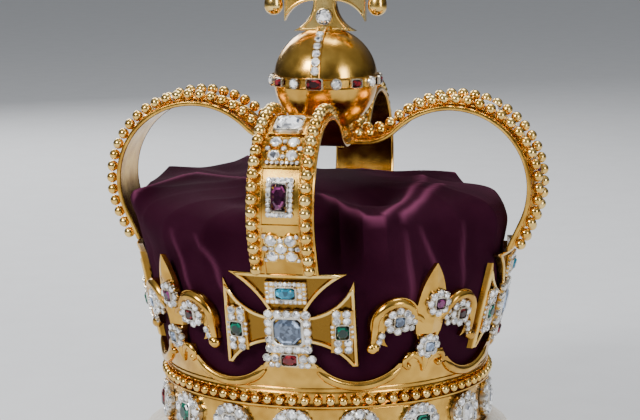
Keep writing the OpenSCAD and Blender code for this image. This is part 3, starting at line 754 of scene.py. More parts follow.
def box_collet_pattern():
    """Square collet, 1 by 1 inside, whose rim stands 1 high."""
    shape = Shape()
    rows = ((0.54, 0.0), (0.60, 0.0), (0.58, 0.8), (0.55, 1.0), (0.50, 1.0), (0.47, 0.7))
    ring = cut_square(1, 0.22)
    points = [Vector((s * x, s * y, z)) for x, y in ring for s, z in rows]
    shape.add(points, [f[::-1] for f in lattice(len(ring), len(rows), True, True)])
    return shape.mesh("box_collet", smooth=False)


# Where the small stones sit

def round_of(count, half_w, half_h, shift=0.0):
    """Places on an oval, as (across, up)."""
    turns = [2 * math.pi * (k + shift) / count for k in range(count)]
    return [(half_w * math.sin(t), half_h * math.cos(t)) for t in turns]


def border_of(half_w, half_h, pitch):
    """Places round a rectangle, as (across, up)."""
    columns = max(1, round(2 * half_w / pitch))
    rows = max(1, round(2 * half_h / pitch))
    xs = [-half_w + 2 * half_w * k / columns for k in range(columns + 1)]
    ys = [-half_h + 2 * half_h * k / rows for k in range(1, rows)]
    return [(x, s * half_h) for x in xs for s in (-1, 1)] + \
        [(s * half_w, y) for y in ys for s in (-1, 1)]


CLUSTER_Z = -17.8 * MM
CLUSTERS_N = 16
MOUNT_FACE = 104.5 * MM


def band_seats():
    """Small clear stones of the band's clusters."""
    seats = []
    for i in range(CLUSTERS_N):
        turn = 2 * math.pi * i / CLUSTERS_N
        for x, y in round_of(9, 10.2 * MM, 9.4 * MM):
            seats.append((band_seat(turn + x / MOUNT_FACE, CLUSTER_Z + y, MOUNT_FACE), 6.1 * MM))
        for x, y in round_of(9, 12.6 * MM, 11.8 * MM, 0.5):
            seats.append((band_seat(turn + x / MOUNT_FACE, CLUSTER_Z + y, MOUNT_FACE), 2.0 * MM))
    return seats


def jewel_places(wall):
    """A cross's jewels: how far across the side ones are, how high the top and foot ones."""
    return wall.cross_half - 9 * MM, wall.cross_top - 10.5 * MM, wall.joint_z + 6 * MM


def cross_seats(wall):
    """Small clear stones round the five jewels of each cross.

    A spot is a place across, a height and a stone's size in millimetres.
    """
    side, top, low = jewel_places(wall)
    spots = [(x, wall.cross_mid + y, 5.0) for x, y in border_of(11 * MM, 11 * MM, 5.5 * MM)]
    spots += [(x, top + y, 2.7) for x, y in border_of(10.8 * MM, 5.5 * MM, 2.7 * MM)]
    spots += [(s * 8.3 * MM, top + y * MM, 3.2) for s in (-1, 1) for y in (-1.8, 1.8)]
    for s in (-1, 1):
        for x in (-2.8, 2.8):
            spots += [(s * side + x * MM, wall.cross_mid + y * MM, 4.6)
                      for y in (-11.4, -7.0, 7.0, 11.4)]
        spots += [(s * side + x * MM, wall.cross_mid + y * MM, 2.1)
                  for x in (-5.4, 5.4) for y in (-3.2, 0, 3.2)]
    spots += [(x * MM, low + 6.4 * MM, 4.2) for x in (-8.4, -4.2, 0, 4.2, 8.4)]
    spots += [(x * MM, low + 0.8 * MM, 4.8) for x in (-13.2, -8.2, 8.2, 13.2)]
    spots += [(x * MM, low - 3.6 * MM, 3.4) for x in (-10.5, -7, 7, 10.5)]
    return [(wall_seat(wall, turn, x, z, wall.frame_lift - 0.4 * MM), d * MM)
            for turn in SIDE_ANGLES for x, z, d in spots]


def fleur_clusters(wall):
    """Middles of a fleur's clusters, as (across, up): leaf, left and right petal, foot."""
    across, up = wall.petal_x - 1.5 * MM, wall.petal_mid + 2 * MM
    return ((3.5 * MM, wall.petal_mid + 11 * MM), (-across, up), (across, up),
            (0, wall.joint_z + 11 * MM))


def fleur_seats(wall):
    """Small clear stones of the fleurs' clusters, on both sides of each leaf.

    A spot is a place across, a height, a stone's size in millimetres and which lift it has.
    """
    leaf, left, right, foot = fleur_clusters(wall)
    tail = wall.petal_x + 0.4 * wall.petal_r
    spots = [(leaf[0] + x, leaf[1] + y, 4.6, 2) for x, y in round_of(8, 6 * MM, 6 * MM)]
    for s, (middle, up) in ((-1, left), (1, right)):
        spots += [(middle + x, up + y, 4.8, 1) for x, y in round_of(8, 6.2 * MM, 6.2 * MM)]
        spots += [(middle - s * x * MM, wall.petal_mid + y * MM, 3.4, 0)
                  for x, y in ((9.5, 4.5), (10.5, 0.5), (9, -3.2))]
        spots += [(s * (tail + x * MM), wall.petal_mid + y * MM, d, 0)
                  for x, y, d in ((1.2, -7, 3.8), (2.2, -10.6, 3.4), (2.8, -13.6, 3))]
    spots += [(foot[0] + x, foot[1] + y, 4.4, 1) for x, y in round_of(8, 5.8 * MM, 5.4 * MM)]
    spots += [(0, wall.petal_mid - 5 * MM, 3.6, 0)]
    lifts = (wall.plate_t + 0.5 * MM, wall.field_lift + 2.2 * MM, wall.plate_t + 1.5 * MM)
    return [(wall_seat(wall, turn, x, z, lifts[level]), d * MM)
            for turn in FLEUR_ANGLES for x, z, d, level in spots]


def arch_seats(wall, arches):
    """Small clear stones of the arches, as seats with sizes.

    A spot is an angle on the main curve in degrees, a place across and a size in millimetres.
    """
    radius = arches.radius + arches.half_t
    spots = [(10 + math.degrees(y / radius), x, 2.9)
             for x, y in border_of(6.6 * MM, 10 * MM, 2.9 * MM)]
    spots += [(-25 + a, x * MM, d) for a, x, d in
              ((0, -6, 3), (0, 6, 3), (6, 0, 3.4), (-6, 0, 3.4), (9, -9.6, 2.6), (9, 9.6, 2.6),
               (-9, -9.6, 2.6), (-9, 9.6, 2.6), (0, -9.8, 3), (0, 9.8, 3))]
    spots += [(43.5 + a, x * MM, d) for a, x, d in
              ((0, 0, 3), (0, -9.6, 3), (0, 9.6, 3), (6, 0, 2.6), (-6, 0, 2.6))]
    spots += [(33.2, x * MM, 2.2) for x in (-9, -6, -3, 0, 3, 6, 9)]
    return [(arch_seat(wall, arches, turn, a, x, 0.9 * MM), d * MM)
            for turn in SIDE_ANGLES for a, x, d in spots]


# Operators

class CrownOperator:
    """What all operators of this panel share."""
    bl_options = {"REGISTER", "UNDO"}


class CROWN_OT_materials(CrownOperator, bpy.types.Operator):
    """Make the gold, gem, velvet and fur materials"""
    bl_idname = "crown.materials"
    bl_label = "Materials"

    def execute(self, context):
        make_materials(context.scene.crown_colours, context.scene.crown_wall)
        return {"FINISHED"}


class CROWN_OT_band(CrownOperator, bpy.types.Operator):
    """Dress the circlet: mouldings, rim beads and clusters"""
    bl_idname = "crown.band"
    bl_label = "Circlet"

    def execute(self, context):
        wall = context.scene.crown_wall
        paint_nodes("gold", "circlet")
        paint_nodes("silver", "circlet_mounts")
        self.mouldings(wall)
        self.beads()
        return {"FINISHED"}

    def mouldings(self, wall):
        """Rolls along the eight scallops, and three rings by their height, radius and size."""
        shape = Shape()
        half = math.degrees(math.acos((wall.scallop_z - wall.joint_z) / wall.scallop_r)) - 2
        for i in range(8):
            turn = math.pi / 8 + math.pi / 4 * i
            flat = arc((0, wall.scallop_z), wall.scallop_r + 2.9 * MM, -90 - half, -90 + half, 24)
            line = [on_cone(wall, turn, x, z, 2.6 * MM) for x, z in flat]
            sizes = [min(1.0, 0.45 + 0.2 * min(k, len(line) - 1 - k)) for k in range(len(line))]
            sweep(shape, line, round_section(3.0 * MM, 2.6 * MM, 12), sizes)
        for z, radius, size in ((7.5, cone_r(wall, 7.5 * MM) + 2.1 * MM, 0.7),
                                (4.6, cone_r(wall, 4.6 * MM) + 2.2 * MM, 0.9),
                                (-5.6, RING_R - 1.6 * MM, 0.8)):
            section = [(radius + out, RING_Z + z * MM + up)
                       for out, up in round_section(size * MM, size * MM, 8)]
            lathe(shape, section, 180)
        finish_piece("circlet_mouldings", shape.mesh("circlet_mouldings"), "gold", "gold")

    def beads(self):
        """The ring of rim beads."""
        count = 84
        seats = [(band_seat(2 * math.pi * i / count, 0, RING_R), RIM_BEAD_R)
                 for i in range(count)]
        set_on("rim_bead_row", seats, bead_pattern(), "bright_gold", "gold", ["rim_beads"])


class CROWN_OT_crosses(CrownOperator, bpy.types.Operator):
    """Dress the four crosses with rounded raised edges"""
    bl_idname = "crown.crosses"
    bl_label = "Crosses"

    def execute(self, context):
        wall = context.scene.crown_wall
        paint_nodes("wall_gold", *["cross_" + side for side in SIDES])
        shape = Shape()
        for turn in SIDE_ANGLES:
            flat = fine(self.outline(wall, 1.1 * MM), 2.5 * MM, closed=True)
            line = [on_cone(wall, turn, x, z, wall.plate_t) for x, z in flat]
            sweep(shape, line, round_section(1.15 * MM, 0.9 * MM, 8), closed=True)
        finish_piece("cross_edges", shape.mesh("cross_edges"), "bright_gold", "gold")
        return {"FINISHED"}

    def outline(self, wall, inset):
        """Outline of a cross, drawn in by an inset, anticlockwise from the top arm."""
        hollow_r, top_hollow_r, sag = 34 * MM, 57 * MM, 2 * MM
        arm_r = hollow_r + inset
        top_r = top_hollow_r + inset
        root = Vector((11 * MM, wall.cross_mid + 12 * MM))
        tip = Vector((wall.cross_tip, wall.cross_top))
        along = (tip - root).normalized()
        top_c = (root + tip) / 2 + (top_hollow_r - sag) * Vector((along.y, -along.x))
        arm_up = Vector((wall.arm_half, wall.cross_mid + wall.arm_half + hollow_r))
        arm_low = Vector((wall.arm_half, wall.cross_mid - wall.arm_half - hollow_r))
        bay = Vector(((RING_R + 2 * MM) * math.pi / 8, wall.scallop_z))
        half = wall.cross_half - inset
        top = wall.cross_top - inset
        foot = wall.joint_z + 0.3 * MM
        right = self.top_side(top_c, top_r, top, arm_up.y - arm_r + 1.2 * MM)
        right += self.rise(arm_up, arm_r, right[-1][0], half, -1)
        low_x = arm_low.x + math.sqrt(arm_r ** 2 - (foot + inset - arm_low.y) ** 2)
        if low_x < half:
            right.append((half, foot + inset))
        crotch_x = self.meet(arm_low, arm_r, bay, wall.scallop_r + inset)
        right += self.rise(arm_low, arm_r, min(low_x, half), crotch_x, 1)
        crotch_z = arm_low.y + math.sqrt(arm_r ** 2 - (crotch_x - arm_low.x) ** 2)
        right += self.fall(bay, wall.scallop_r + inset, crotch_z, foot)
        left = [(-x, z) for x, z in right[::-1]]
        return right + left

    def top_side(self, top_c, top_r, top, end_z):
        """Side of the top arm, from its tip down to where it meets a side arm."""
        points = []
        steps = 10
        for k in range(steps + 1):
            z = top + (end_z - top) * k / steps
            reach = top_r ** 2 - (z - top_c.y) ** 2
            points.append((top_c.x - math.sqrt(max(reach, 0.0)), z))
        return points

    def rise(self, centre, radius, start, end, sign):
        """Arc over a side arm between two places across."""
        steps = 10
        points = []
        for k in range(steps + 1):
            x = start + (end - start) * k / steps
            reach = max(radius ** 2 - (x - centre.x) ** 2, 0.0)
            points.append((x, centre.y + sign * math.sqrt(reach)))
        return points

    def meet(self, arm_c, arm_r, bay, bay_r):
        """Place across where a side arm's lower edge meets the bottom arm's edge."""
        x = arm_c.x
        while x < bay.x:
            z = arm_c.y + math.sqrt(max(arm_r ** 2 - (x - arm_c.x) ** 2, 0.0))
            if (x - bay.x) ** 2 + (z - bay.y) ** 2 <= bay_r ** 2:
                return x
            x += 0.1 * MM
        return arm_c.x

    def fall(self, bay, bay_r, start_z, foot):
        """Edge of the bottom arm, down to its foot."""
        steps = 8
        points = []
        for k in range(1, steps + 1):
            z = start_z + (foot - start_z) * k / steps
            points.append((bay.x - math.sqrt(bay_r ** 2 - (z - bay.y) ** 2), z))
        return points


class CROWN_OT_fleurs(CrownOperator, bpy.types.Operator):
    """Build the four fleurs-de-lis with ridged leaves, curled petals and scrolls"""
    bl_idname = "crown.fleurs"
    bl_label = "Fleurs"

    def execute(self, context):
        wall = context.scene.crown_wall
        paint_nodes("gold", *["fleur_%d" % (i + 1) for i in range(4)])
        shape = Shape()
        for turn in FLEUR_ANGLES:
            self.leaf(shape, wall, turn)
            for s in (-1, 1):
                self.petal(shape, wall, turn, s)
            self.scroll(shape, wall, turn)
        finish_piece("fleur_forms", shape.mesh("fleur_forms"), "gold", "gold")
        return {"FINISHED"}

    def leaf(self, shape, wall, turn):
        """Pointed leaf with two facets that meet in a ridge, low under the cluster."""
        base = wall.petal_mid - 9 * MM
        tall = wall.leaf_top - base
        steps = 16
        points = []
        for k in range(steps + 1):
            share = k / steps
            z = base + tall * share
            half = wall.leaf_half * (math.sin(math.pi * min(1, 0.32 + 0.68 * share)) ** 0.8)
            half = max(half, 0.25 * MM)
            past = abs(z - fleur_clusters(wall)[0][1]) - 5 * MM
            ridge = wall.plate_t + 3.8 * MM * (half / wall.leaf_half) * min(
                1, max(0.2, past / (5 * MM)))
            for across, lift in ((-1, 0.4 * MM), (-0.97, wall.plate_t), (-0.5, 0), (0, 0),
                                 (0.5, 0), (0.97, wall.plate_t), (1, 0.4 * MM)):
                if abs(across) == 0.5:
                    lift = wall.plate_t + 0.4 * (ridge - wall.plate_t)
                if across == 0:
                    lift = ridge
                points.append(on_cone(wall, turn, across * half, z, lift)[0])
        columns = 7
        faces = lattice(steps + 1, columns, False, True)
        faces += [list(range(columns))[::-1],
                  [steps * columns + j for j in range(columns)]]
        shape.add(points, faces)

    def petal(self, shape, wall, turn, s):
        """Fat curled rib from the leaf over to its ball."""
        centre = (s * wall.petal_x, wall.petal_mid)
        rib = wall.petal_r - 3.1 * MM
        tail_x = s * (wall.petal_x + 0.755 * wall.petal_r)
        start, end = (165, 8) if s > 0 else (15, 172)
        flat = [(s * 3 * MM, wall.petal_mid - 3 * MM), (s * 7 * MM, wall.petal_mid + 1.5 * MM)]
        flat += arc(centre, rib, start, end, 18)
        flat += [(tail_x + s * 0.4 * MM, wall.petal_mid - z * MM) for z in (4, 8, 12)]
        flat += [(tail_x, wall.petal_mid - 15 * MM)]
        n = len(flat)
        sizes = [0.62 + 0.38 * math.sin(math.pi * min(1, k / (n - 1) * 1.05)) ** 0.7
                 for k in range(n)]
        line = [on_cone(wall, turn, x, z, 2.2 * MM) for x, z in flat]
        sweep(shape, line, round_section(3.3 * MM, 4.3 * MM, 14), sizes)
        end_point, _ = on_cone(wall, turn, tail_x, wall.petal_mid - 15 * MM, 3.4 * MM)
        ball(shape, end_point, wall.ball_r * 1.02, 10, 16)

    def scroll(self, shape, wall, turn):
        """Leafy foot: an upright leaf between two scrolls that end in balls."""
        low = wall.joint_z - 6 * MM
        for s in (-1, 0, 1):
            if s:
                flat = [(s * x * MM, low + z * MM) for x, z in
                        ((2, 5), (5, 9), (8.5, 11), (12, 10), (14, 7.5), (14, 4.5), (11.5, 3.4))]
                sizes = [0.7, 0.9, 1, 1, 0.9, 0.8, 0.7]
            else:
                flat = [(0, low + z * MM) for z in (-1, 2, 5, 8, 11, 13.5)]
                sizes = [0.3, 0.8, 1.1, 1.2, 0.9, 0.4]
            line = [on_cone(wall, turn, x, z, 2.8 * MM) for x, z in flat]
            sweep(shape, line, round_section(2.3 * MM, 2.2 * MM, 10), sizes)
            if s:
                ball(shape, line[-1][0], 2.3 * MM, 8, 12)


class CROWN_OT_arches(CrownOperator, bpy.types.Operator):
    """Dress the four half arches: rolled edges and rows of beads"""
    bl_idname = "crown.arches"
    bl_label = "Arches"

    def execute(self, context):
        wall = context.scene.crown_wall
        arches = context.scene.crown_arches
        paint_nodes("gold", *["arch_" + side for side in SIDES], "crossing")
        lift = arches.half_t + 0.6 * MM + arches.bead_r
        places = spread(arch_profile(wall, arches, lift), arches.pitch, arches.bead_r + 0.4 * MM)
        seats = []
        for turn in SIDE_ANGLES:
            for s in (-1, 1):
                for flat, _ in places:
                    point = in_plane(turn, flat, s * arches.row)
                    seats.append((Matrix.Translation(point), arches.bead_r))
        set_on("arch_bead_rows", seats, bead_pattern(), "bright_gold", "gold",
               ["arch_beads_" + side for side in SIDES])
        shape = Shape()
        edge = arches.width / 2 - 0.5 * MM
        inner = arches.row - arches.bead_r - 1 * MM
        for turn in SIDE_ANGLES:
            for across, up, size in ((edge, 0, 1.5), (inner, arches.half_t, 1.1)):
                line = arch_profile(wall, arches, up)
                side = Vector((math.cos(turn), math.sin(turn), 0))
                outs = [side * o.x + Vector((0, 0, o.y)) for _, o in line]
                for s in (-1, 1):
                    path = [in_plane(turn, flat, s * across) for flat, _ in line]
                    sweep(shape, list(zip(path, outs)),
                          round_section(0.75 * size * MM, size * MM, 8))
        finish_piece("arch_edges", shape.mesh("arch_edges"), "gold", "gold")
        return {"FINISHED"}


class CROWN_OT_globe(CrownOperator, bpy.types.Operator):
    """Dress the globe and the top cross"""
    bl_idname = "crown.globe"
    bl_label = "Globe and Cross"

    def execute(self, context):
        paint_nodes("bright_gold", "top_cross", "drop_left", "drop_right")
        shape = Shape()
        steps, under_cross = 48, 4
        pole = 0.0005 * MM
        section = [(GLOBE_R * math.sin(math.pi * k / steps),
                    -GLOBE_R * math.cos(math.pi * k / steps))
                   for k in range(1, steps - under_cross)]
        section = [(pole, -GLOBE_R), *section, (pole, section[-1][1])]
        lathe(shape, section, 96, Vector((0, 0, GLOBE_Z)), closed=False)
        for z in (-2.9, 2.9):
            rim = [(GLOBE_R + 0.5 * MM + out, z * MM + up)
                   for out, up in round_section(1.1 * MM, 0.8 * MM, 8)]
            lathe(shape, rim, 96, Vector((0, 0, GLOBE_Z)))
        belt = [(GLOBE_R - 1 * MM, -2.6 * MM), (GLOBE_R + 0.7 * MM, -2.6 * MM),
                (GLOBE_R + 0.7 * MM, 2.6 * MM), (GLOBE_R - 1 * MM, 2.6 * MM)]
        lathe(shape, belt, 96, Vector((0, 0, GLOBE_Z)))
        for s in (-1, 1):
            for start in (5, 175):
                flat = arc((0, 0), GLOBE_R + 0.4 * MM, start, 90 + (start - 90) / 6, 24)
                line = [(Vector((s * 2.4 * MM, y, z + GLOBE_Z)), Vector((0, y, z)).normalized())
                        for y, z in flat]
                sweep(shape, line, round_section(0.8 * MM, 1.0 * MM, 8))
        finish_piece("globe_gold", shape.mesh("globe_gold"), "gold", "gold", "monde")
        edges = Shape()
        flat = fine(self.top_outline(0.9 * MM), 2 * MM, closed=True)
        for face in (-1, 1):
            line = [(Vector((x, TOP_FACE * face, TOP_MID_Z + z)), Vector((0, face, 0)))
                    for x, z in flat]
            sweep(edges, line, round_section(0.9 * MM, 0.8 * MM, 8), closed=True)
        finish_piece("top_cross_edges", edges.mesh("top_cross_edges"), "bright_gold", "gold")
        return {"FINISHED"}

    def top_outline(self, inset):
        """Outline of the top cross about its centre, drawn in by an inset."""
        neck, tip = 7 * MM, 20 * MM
        radius = ((TOP_HALF - neck) ** 2 + (tip - neck) ** 2) / (2 * (tip - neck))
        reach = radius + inset
        crotch = neck + (radius - math.sqrt(2 * reach ** 2 - radius ** 2)) / 2
        ends = [math.degrees(math.acos((x - neck) / reach)) for x in (crotch, TOP_HALF - inset)]
        flank = arc((neck, neck + radius), reach, -ends[0], -ends[1], 10)
        quarter = [(z, x) for x, z in flank[:0:-1]] + flank
        outline = []
        for _ in range(4):
            outline += quarter
            quarter = [(z, -x) for x, z in quarter]
        return outline


class CROWN_OT_stones(CrownOperator, bpy.types.Operator):
    """Set the main stones and the small clear stones in their settings"""
    bl_idname = "crown.stones"
    bl_label = "Stones"

    def execute(self, context):
        wall = context.scene.crown_wall
        arches = context.scene.crown_arches
        self.round_set("band_diamonds", band_seats(), 11)
        self.round_set("cross_diamonds", cross_seats(wall), 12)
        self.round_set("fleur_diamonds", fleur_seats(wall), 13)
        self.round_set("arch_diamonds", arch_seats(wall, arches), 14)
        self.cross_stones(wall)
        self.band_stones()
        self.fleur_stones(wall)
        self.arch_stones(wall, arches)
        self.globe_stones()
        return {"FINISHED"}

    def round_set(self, name, seats, seed, collets=None, nodes=(), tilt=0.16, metal="silver"):
        """Round clear stones, each in a collet."""
        set_on(name, seats, brilliant_pattern(), "clear", "white_stone", nodes, tilt, seed)
        set_on(collets or name + "_collets", seats, collet_pattern(), metal, "gold", seed=seed)

    def cut(self, name, seats, material, slot, nodes, seed, high=0.9 * MM):
        """Step cut stones of one colour, each in a box collet."""
        set_on(name, seats, step_cut_pattern(), material, slot, nodes, seed=seed)
        rims = [(m, (s[0], s[1], high)) for m, s in seats]
        set_on(name + "_rims", rims, box_collet_pattern(), "silver", "gold", seed=seed)

    def cross_stones(self, wall):
        """The five jewels of each cross."""
        side, top, low = jewel_places(wall)
        table = (("centre", 0, wall.cross_mid, 17, 17, "blue", "blue_stone"),
                 ("top", 0, top, 12, 7.5, "aqua", "blue_stone"),
                 ("left", -side, wall.cross_mid, 8, 9, "green", "green_stone"),
                 ("right", side, wall.cross_mid, 8, 9, "green", "green_stone"),
                 ("bottom", 0, low, 9.5, 7.2, "red", "red_stone"))
        lift = wall.field_lift + 1.2 * MM
        for k, (jewel, x, z, w, h, material, slot) in enumerate(table):
            seats = [(wall_seat(wall, turn, x, z, lift), (w * MM, h * MM, 3.8 * MM))
                     for turn in SIDE_ANGLES]
            nodes = ["stone_%s_%s" % (side_name, jewel) for side_name in SIDES]
            self.cut("cross_stones_" + jewel, seats, material, slot, nodes, 20 + k, 2.6 * MM)

    def band_stones(self):
        """Centre stones of the band's clusters; their colours go round the band."""
        round_colours = ("clear", "clear", "green", "clear", "clear", "amber", "clear", "green",
                         "clear", "red", "green", "clear", "clear", "clear", "green", "clear")
        for k, name in enumerate(("clear", "green", "amber", "red")):
            seats = [(band_seat(2 * math.pi * i / CLUSTERS_N, CLUSTER_Z, MOUNT_FACE),
                      (10.5 * MM, 11.5 * MM, 3.8 * MM))
                     for i in range(CLUSTERS_N) if round_colours[i] == name]
            nodes = ["circlet_stones"] if k == 0 else []
            slot = "green_stone" if name == "green" else "white_stone"
            self.cut("band_stones_" + name, seats, name, slot, nodes, 30 + k, 2.4 * MM)

    def fleur_stones(self, wall):
        """The main stones of the fleurs' clusters."""
        stones = (("purple", 7.2), ("blue", 6.6), ("red", 6.6), ("blue", 6.6))
        nodes = ["fleur_stones_%d" % (i + 1) for i in range(4)]
        for k, name in enumerate(("purple", "blue", "red")):
            seats = [(wall_seat(wall, turn, x, z, wall.field_lift + 1.4 * MM),
                      (d * MM, d * MM, 4.2 * MM))
                     for turn in FLEUR_ANGLES
                     for (x, z), (material, d) in zip(fleur_clusters(wall), stones)
                     if material == name]
            self.cut("fleur_stones_" + name, seats, name, "purple_stone",
                     nodes if k == 0 else [], 40 + k, 3.6 * MM)

    def arch_stones(self, wall, arches):
        """Table stones near the crossing, dark stones below them and round stones between."""
        def seat(turn, along, x):
            return arch_seat(wall, arches, turn, along, x * MM, 0.1 * MM)
        nodes = ["arch_stones_" + side for side in SIDES]
        tables = [(seat(t, 66, 0), (15.5 * MM, 14 * MM, 5 * MM)) for t in SIDE_ANGLES]
        self.cut("arch_table_stones", tables, "clear", "white_stone", nodes, 50, 3.4 * MM)
        dark = [(seat(t, 10, 0), (9 * MM, 15.5 * MM, 4.6 * MM)) for t in SIDE_ANGLES]
        self.cut("arch_purple_stones", dark, "purple", "purple_stone", [], 51, 3.2 * MM)
        rounds = [(seat(t, a, x), 7.4 * MM) for t in SIDE_ANGLES
                  for a, x in [(a, x) for a in (38.2, 48.8) for x in (-5.4, 5.4)]
                  + [(a, x) for a in (-31, -19) for x in (-5.8, 5.8)] + [(-25, 0)]]
        self.round_set("arch_round_stones", rounds, 52, "arch_round_collets", (), 0.1,
                       "bright_gold")

    def globe_stones(self):
        """Stones of the globe's strap and belt, and of the top cross."""
        strap = [(globe_seat(front, math.radians(rise)), 4.7 * MM)
                 for front in (-1, 1) for rise in (14, 23.5, 33, 42.5, 52, 61.5)]
        self.round_set("strap_set", strap, 62, "strap_collets", ["strap_stones"], 0.12)
        top = []
        for turn in (0, math.pi):
            for x, z, d in ((0, -17, 9.2), (0, 0, 8), (-15, 0, 6.4), (15, 0, 6.4), (0, 15, 6.4)):
                place = Vector((x * MM, -TOP_FACE, TOP_MID_Z + z * MM))
                seat = basis(Vector((1, 0, 0)), Vector((0, 0, 1)), Vector((0, -1, 0)), place)
                top.append((Matrix.Rotation(turn, 4, "Z") @ seat, d * MM))
        self.round_set("top_cross_set", top, 63, "top_cross_collets", ["top_cross_stones"], 0.0)
        count = 16
        radius = GLOBE_R + BELT_T
        level = GLOBE_Z - RING_Z
        clear = [(band_seat(-math.pi / 2 + 2 * math.pi * i / count, level, radius), 6.2 * MM)
                 for i in range(1, count, 2)]
        self.round_set("belt_clear_stones", clear, 60, "belt_collets", ["monde_stones"], 0.1)
        red = [(band_seat(-math.pi / 2 + 2 * math.pi * i / count, level, radius),
                ((7 if i else 9.5) * MM, (5 if i else 6.6) * MM, 2.6 * MM))
               for i in range(0, count, 2)]
        self.cut("belt_red_stones", red, "red", "red_stone", [], 61, 1.8 * MM)


# Angle from the front, height of the top edge and reach as shares of the cap's sizes, how
# far the wall is drawn in below the edge, and how crisp the edge is (0 is a round dome)
CAP_FOLDS = [
    (0, 1.00, 0.64, 0.00, 0.0), (10, 1.00, 0.64, 0.00, 0.1), (17, 1.00, 0.75, 0.01, 0.3),
    (24, 0.99, 0.87, 0.03, 0.6), (31, 1.00, 0.92, 0.02, 1.0), (40, 1.00, 0.88, 0.00, 0.5),
    (48, 1.01, 0.87, 0.00, 0.0), (60, 1.02, 0.92, 0.02, 0.0), (74, 1.02, 1.00, 0.00, 0.0),
    (90, 1.00, 0.98, 0.03, 0.0), (108, 1.01, 0.96, 0.00, 0.2), (126, 0.96, 0.95, 0.04, 0.5),
    (142, 1.00, 0.98, 0.00, 0.8), (160, 0.96, 0.94, 0.03, 0.6), (180, 0.98, 0.97, 0.01, 0.8),
    (200, 0.96, 0.95, 0.03, 0.8), (220, 1.07, 0.98, 0.00, 1.0), (238, 1.06, 0.96, 0.03, 0.8),
    (256, 1.09, 0.99, 0.00, 1.0), (270, 1.04, 1.00, 0.02, 0.9), (284, 1.01, 1.05, 0.00, 1.0),
    (296, 0.99, 1.00, 0.03, 0.2), (312, 0.98, 0.98, 0.02, 0.0), (328, 0.96, 0.93, 0.03, 0.0),
    (345, 0.97, 0.79, 0.02, 0.0), (360, 1.00, 0.64, 0.00, 0.0),
]
# Creases down the wall: angle at the top and at the bottom, share of the edge's height at
# the top and at the bottom, how far the velvet stands out there in mm
CREASES = [
    (38.7, 38, 0.90, 0.42, 1.6), (45, 50, 0.92, 0.60, 1.5), (61.7, 58, 0.92, 0.48, 1.6),
    (87, 84, 0.92, 0.50, 1.4), (128, 122, 0.94, 0.50, 1.8), (176, 172, 0.94, 0.52, 1.8),
    (205, 210, 0.93, 0.55, 1.6), (232, 226, 0.94, 0.50, 1.8), (262, 266, 0.93, 0.55, 1.6),
    (315, 328, 0.92, 0.45, 1.6), (325, 341, 0.92, 0.56, 1.5)
]
# Ridges over the top, as corners with an angle and a distance from the axis in mm
RIDGES = [
    [(286, 124), (277, 106), (265, 88), (277, 58), (300, 40)],
    [(9, 50), (20, 82), (25, 100), (30, 108), (46, 84), (62, 70), (80, 64), (110, 62)],
    [(38, 104), (52, 90), (68, 80), (85, 76)],
    [(142, 116), (150, 84), (165, 56)], [(220, 116), (214, 88), (205, 60)]
]
# Hollows in the top: angle, distance from the axis, width, depth, all lengths in mm
HOLLOWS = [(40, 62, 17, 9), (20, 40, 18, 4), (318, 60, 22, 3), (250, 60, 22, 5),
           (120, 84, 18, 4), (165, 86, 18, 4), (238, 88, 16, 4)]


def fold_at(degrees, column):
    """One column of the fold table at an angle: the high rows are ridges, the low ones valleys."""
    a = degrees % 360
    k = max(i for i, row in enumerate(CAP_FOLDS[:-1]) if row[0] <= a)
    start, end = CAP_FOLDS[k], CAP_FOLDS[k + 1]
    share = (a - start[0]) / (end[0] - start[0])
    steep = 1.9
    rising = end[column] > start[column]
    sharp = share ** steep if rising else 1 - (1 - share) ** steep
    return start[column] + (end[column] - start[column]) * sharp


def plan(degrees, reach):
    """Point in plan at an angle from the front."""
    t = math.radians(degrees - 90)
    return Vector((reach * math.cos(t), reach * math.sin(t)))


def line_distance(point, corners):
    """Distance of a point from a line of corners, in plan."""
    best = 1.0
    for a, b in zip(corners, corners[1:]):
        share = max(0.0, min(1.0, (point - a).dot(b - a) / (b - a).length_squared))
        best = min(best, (point - a - (b - a) * share).length)
    return best


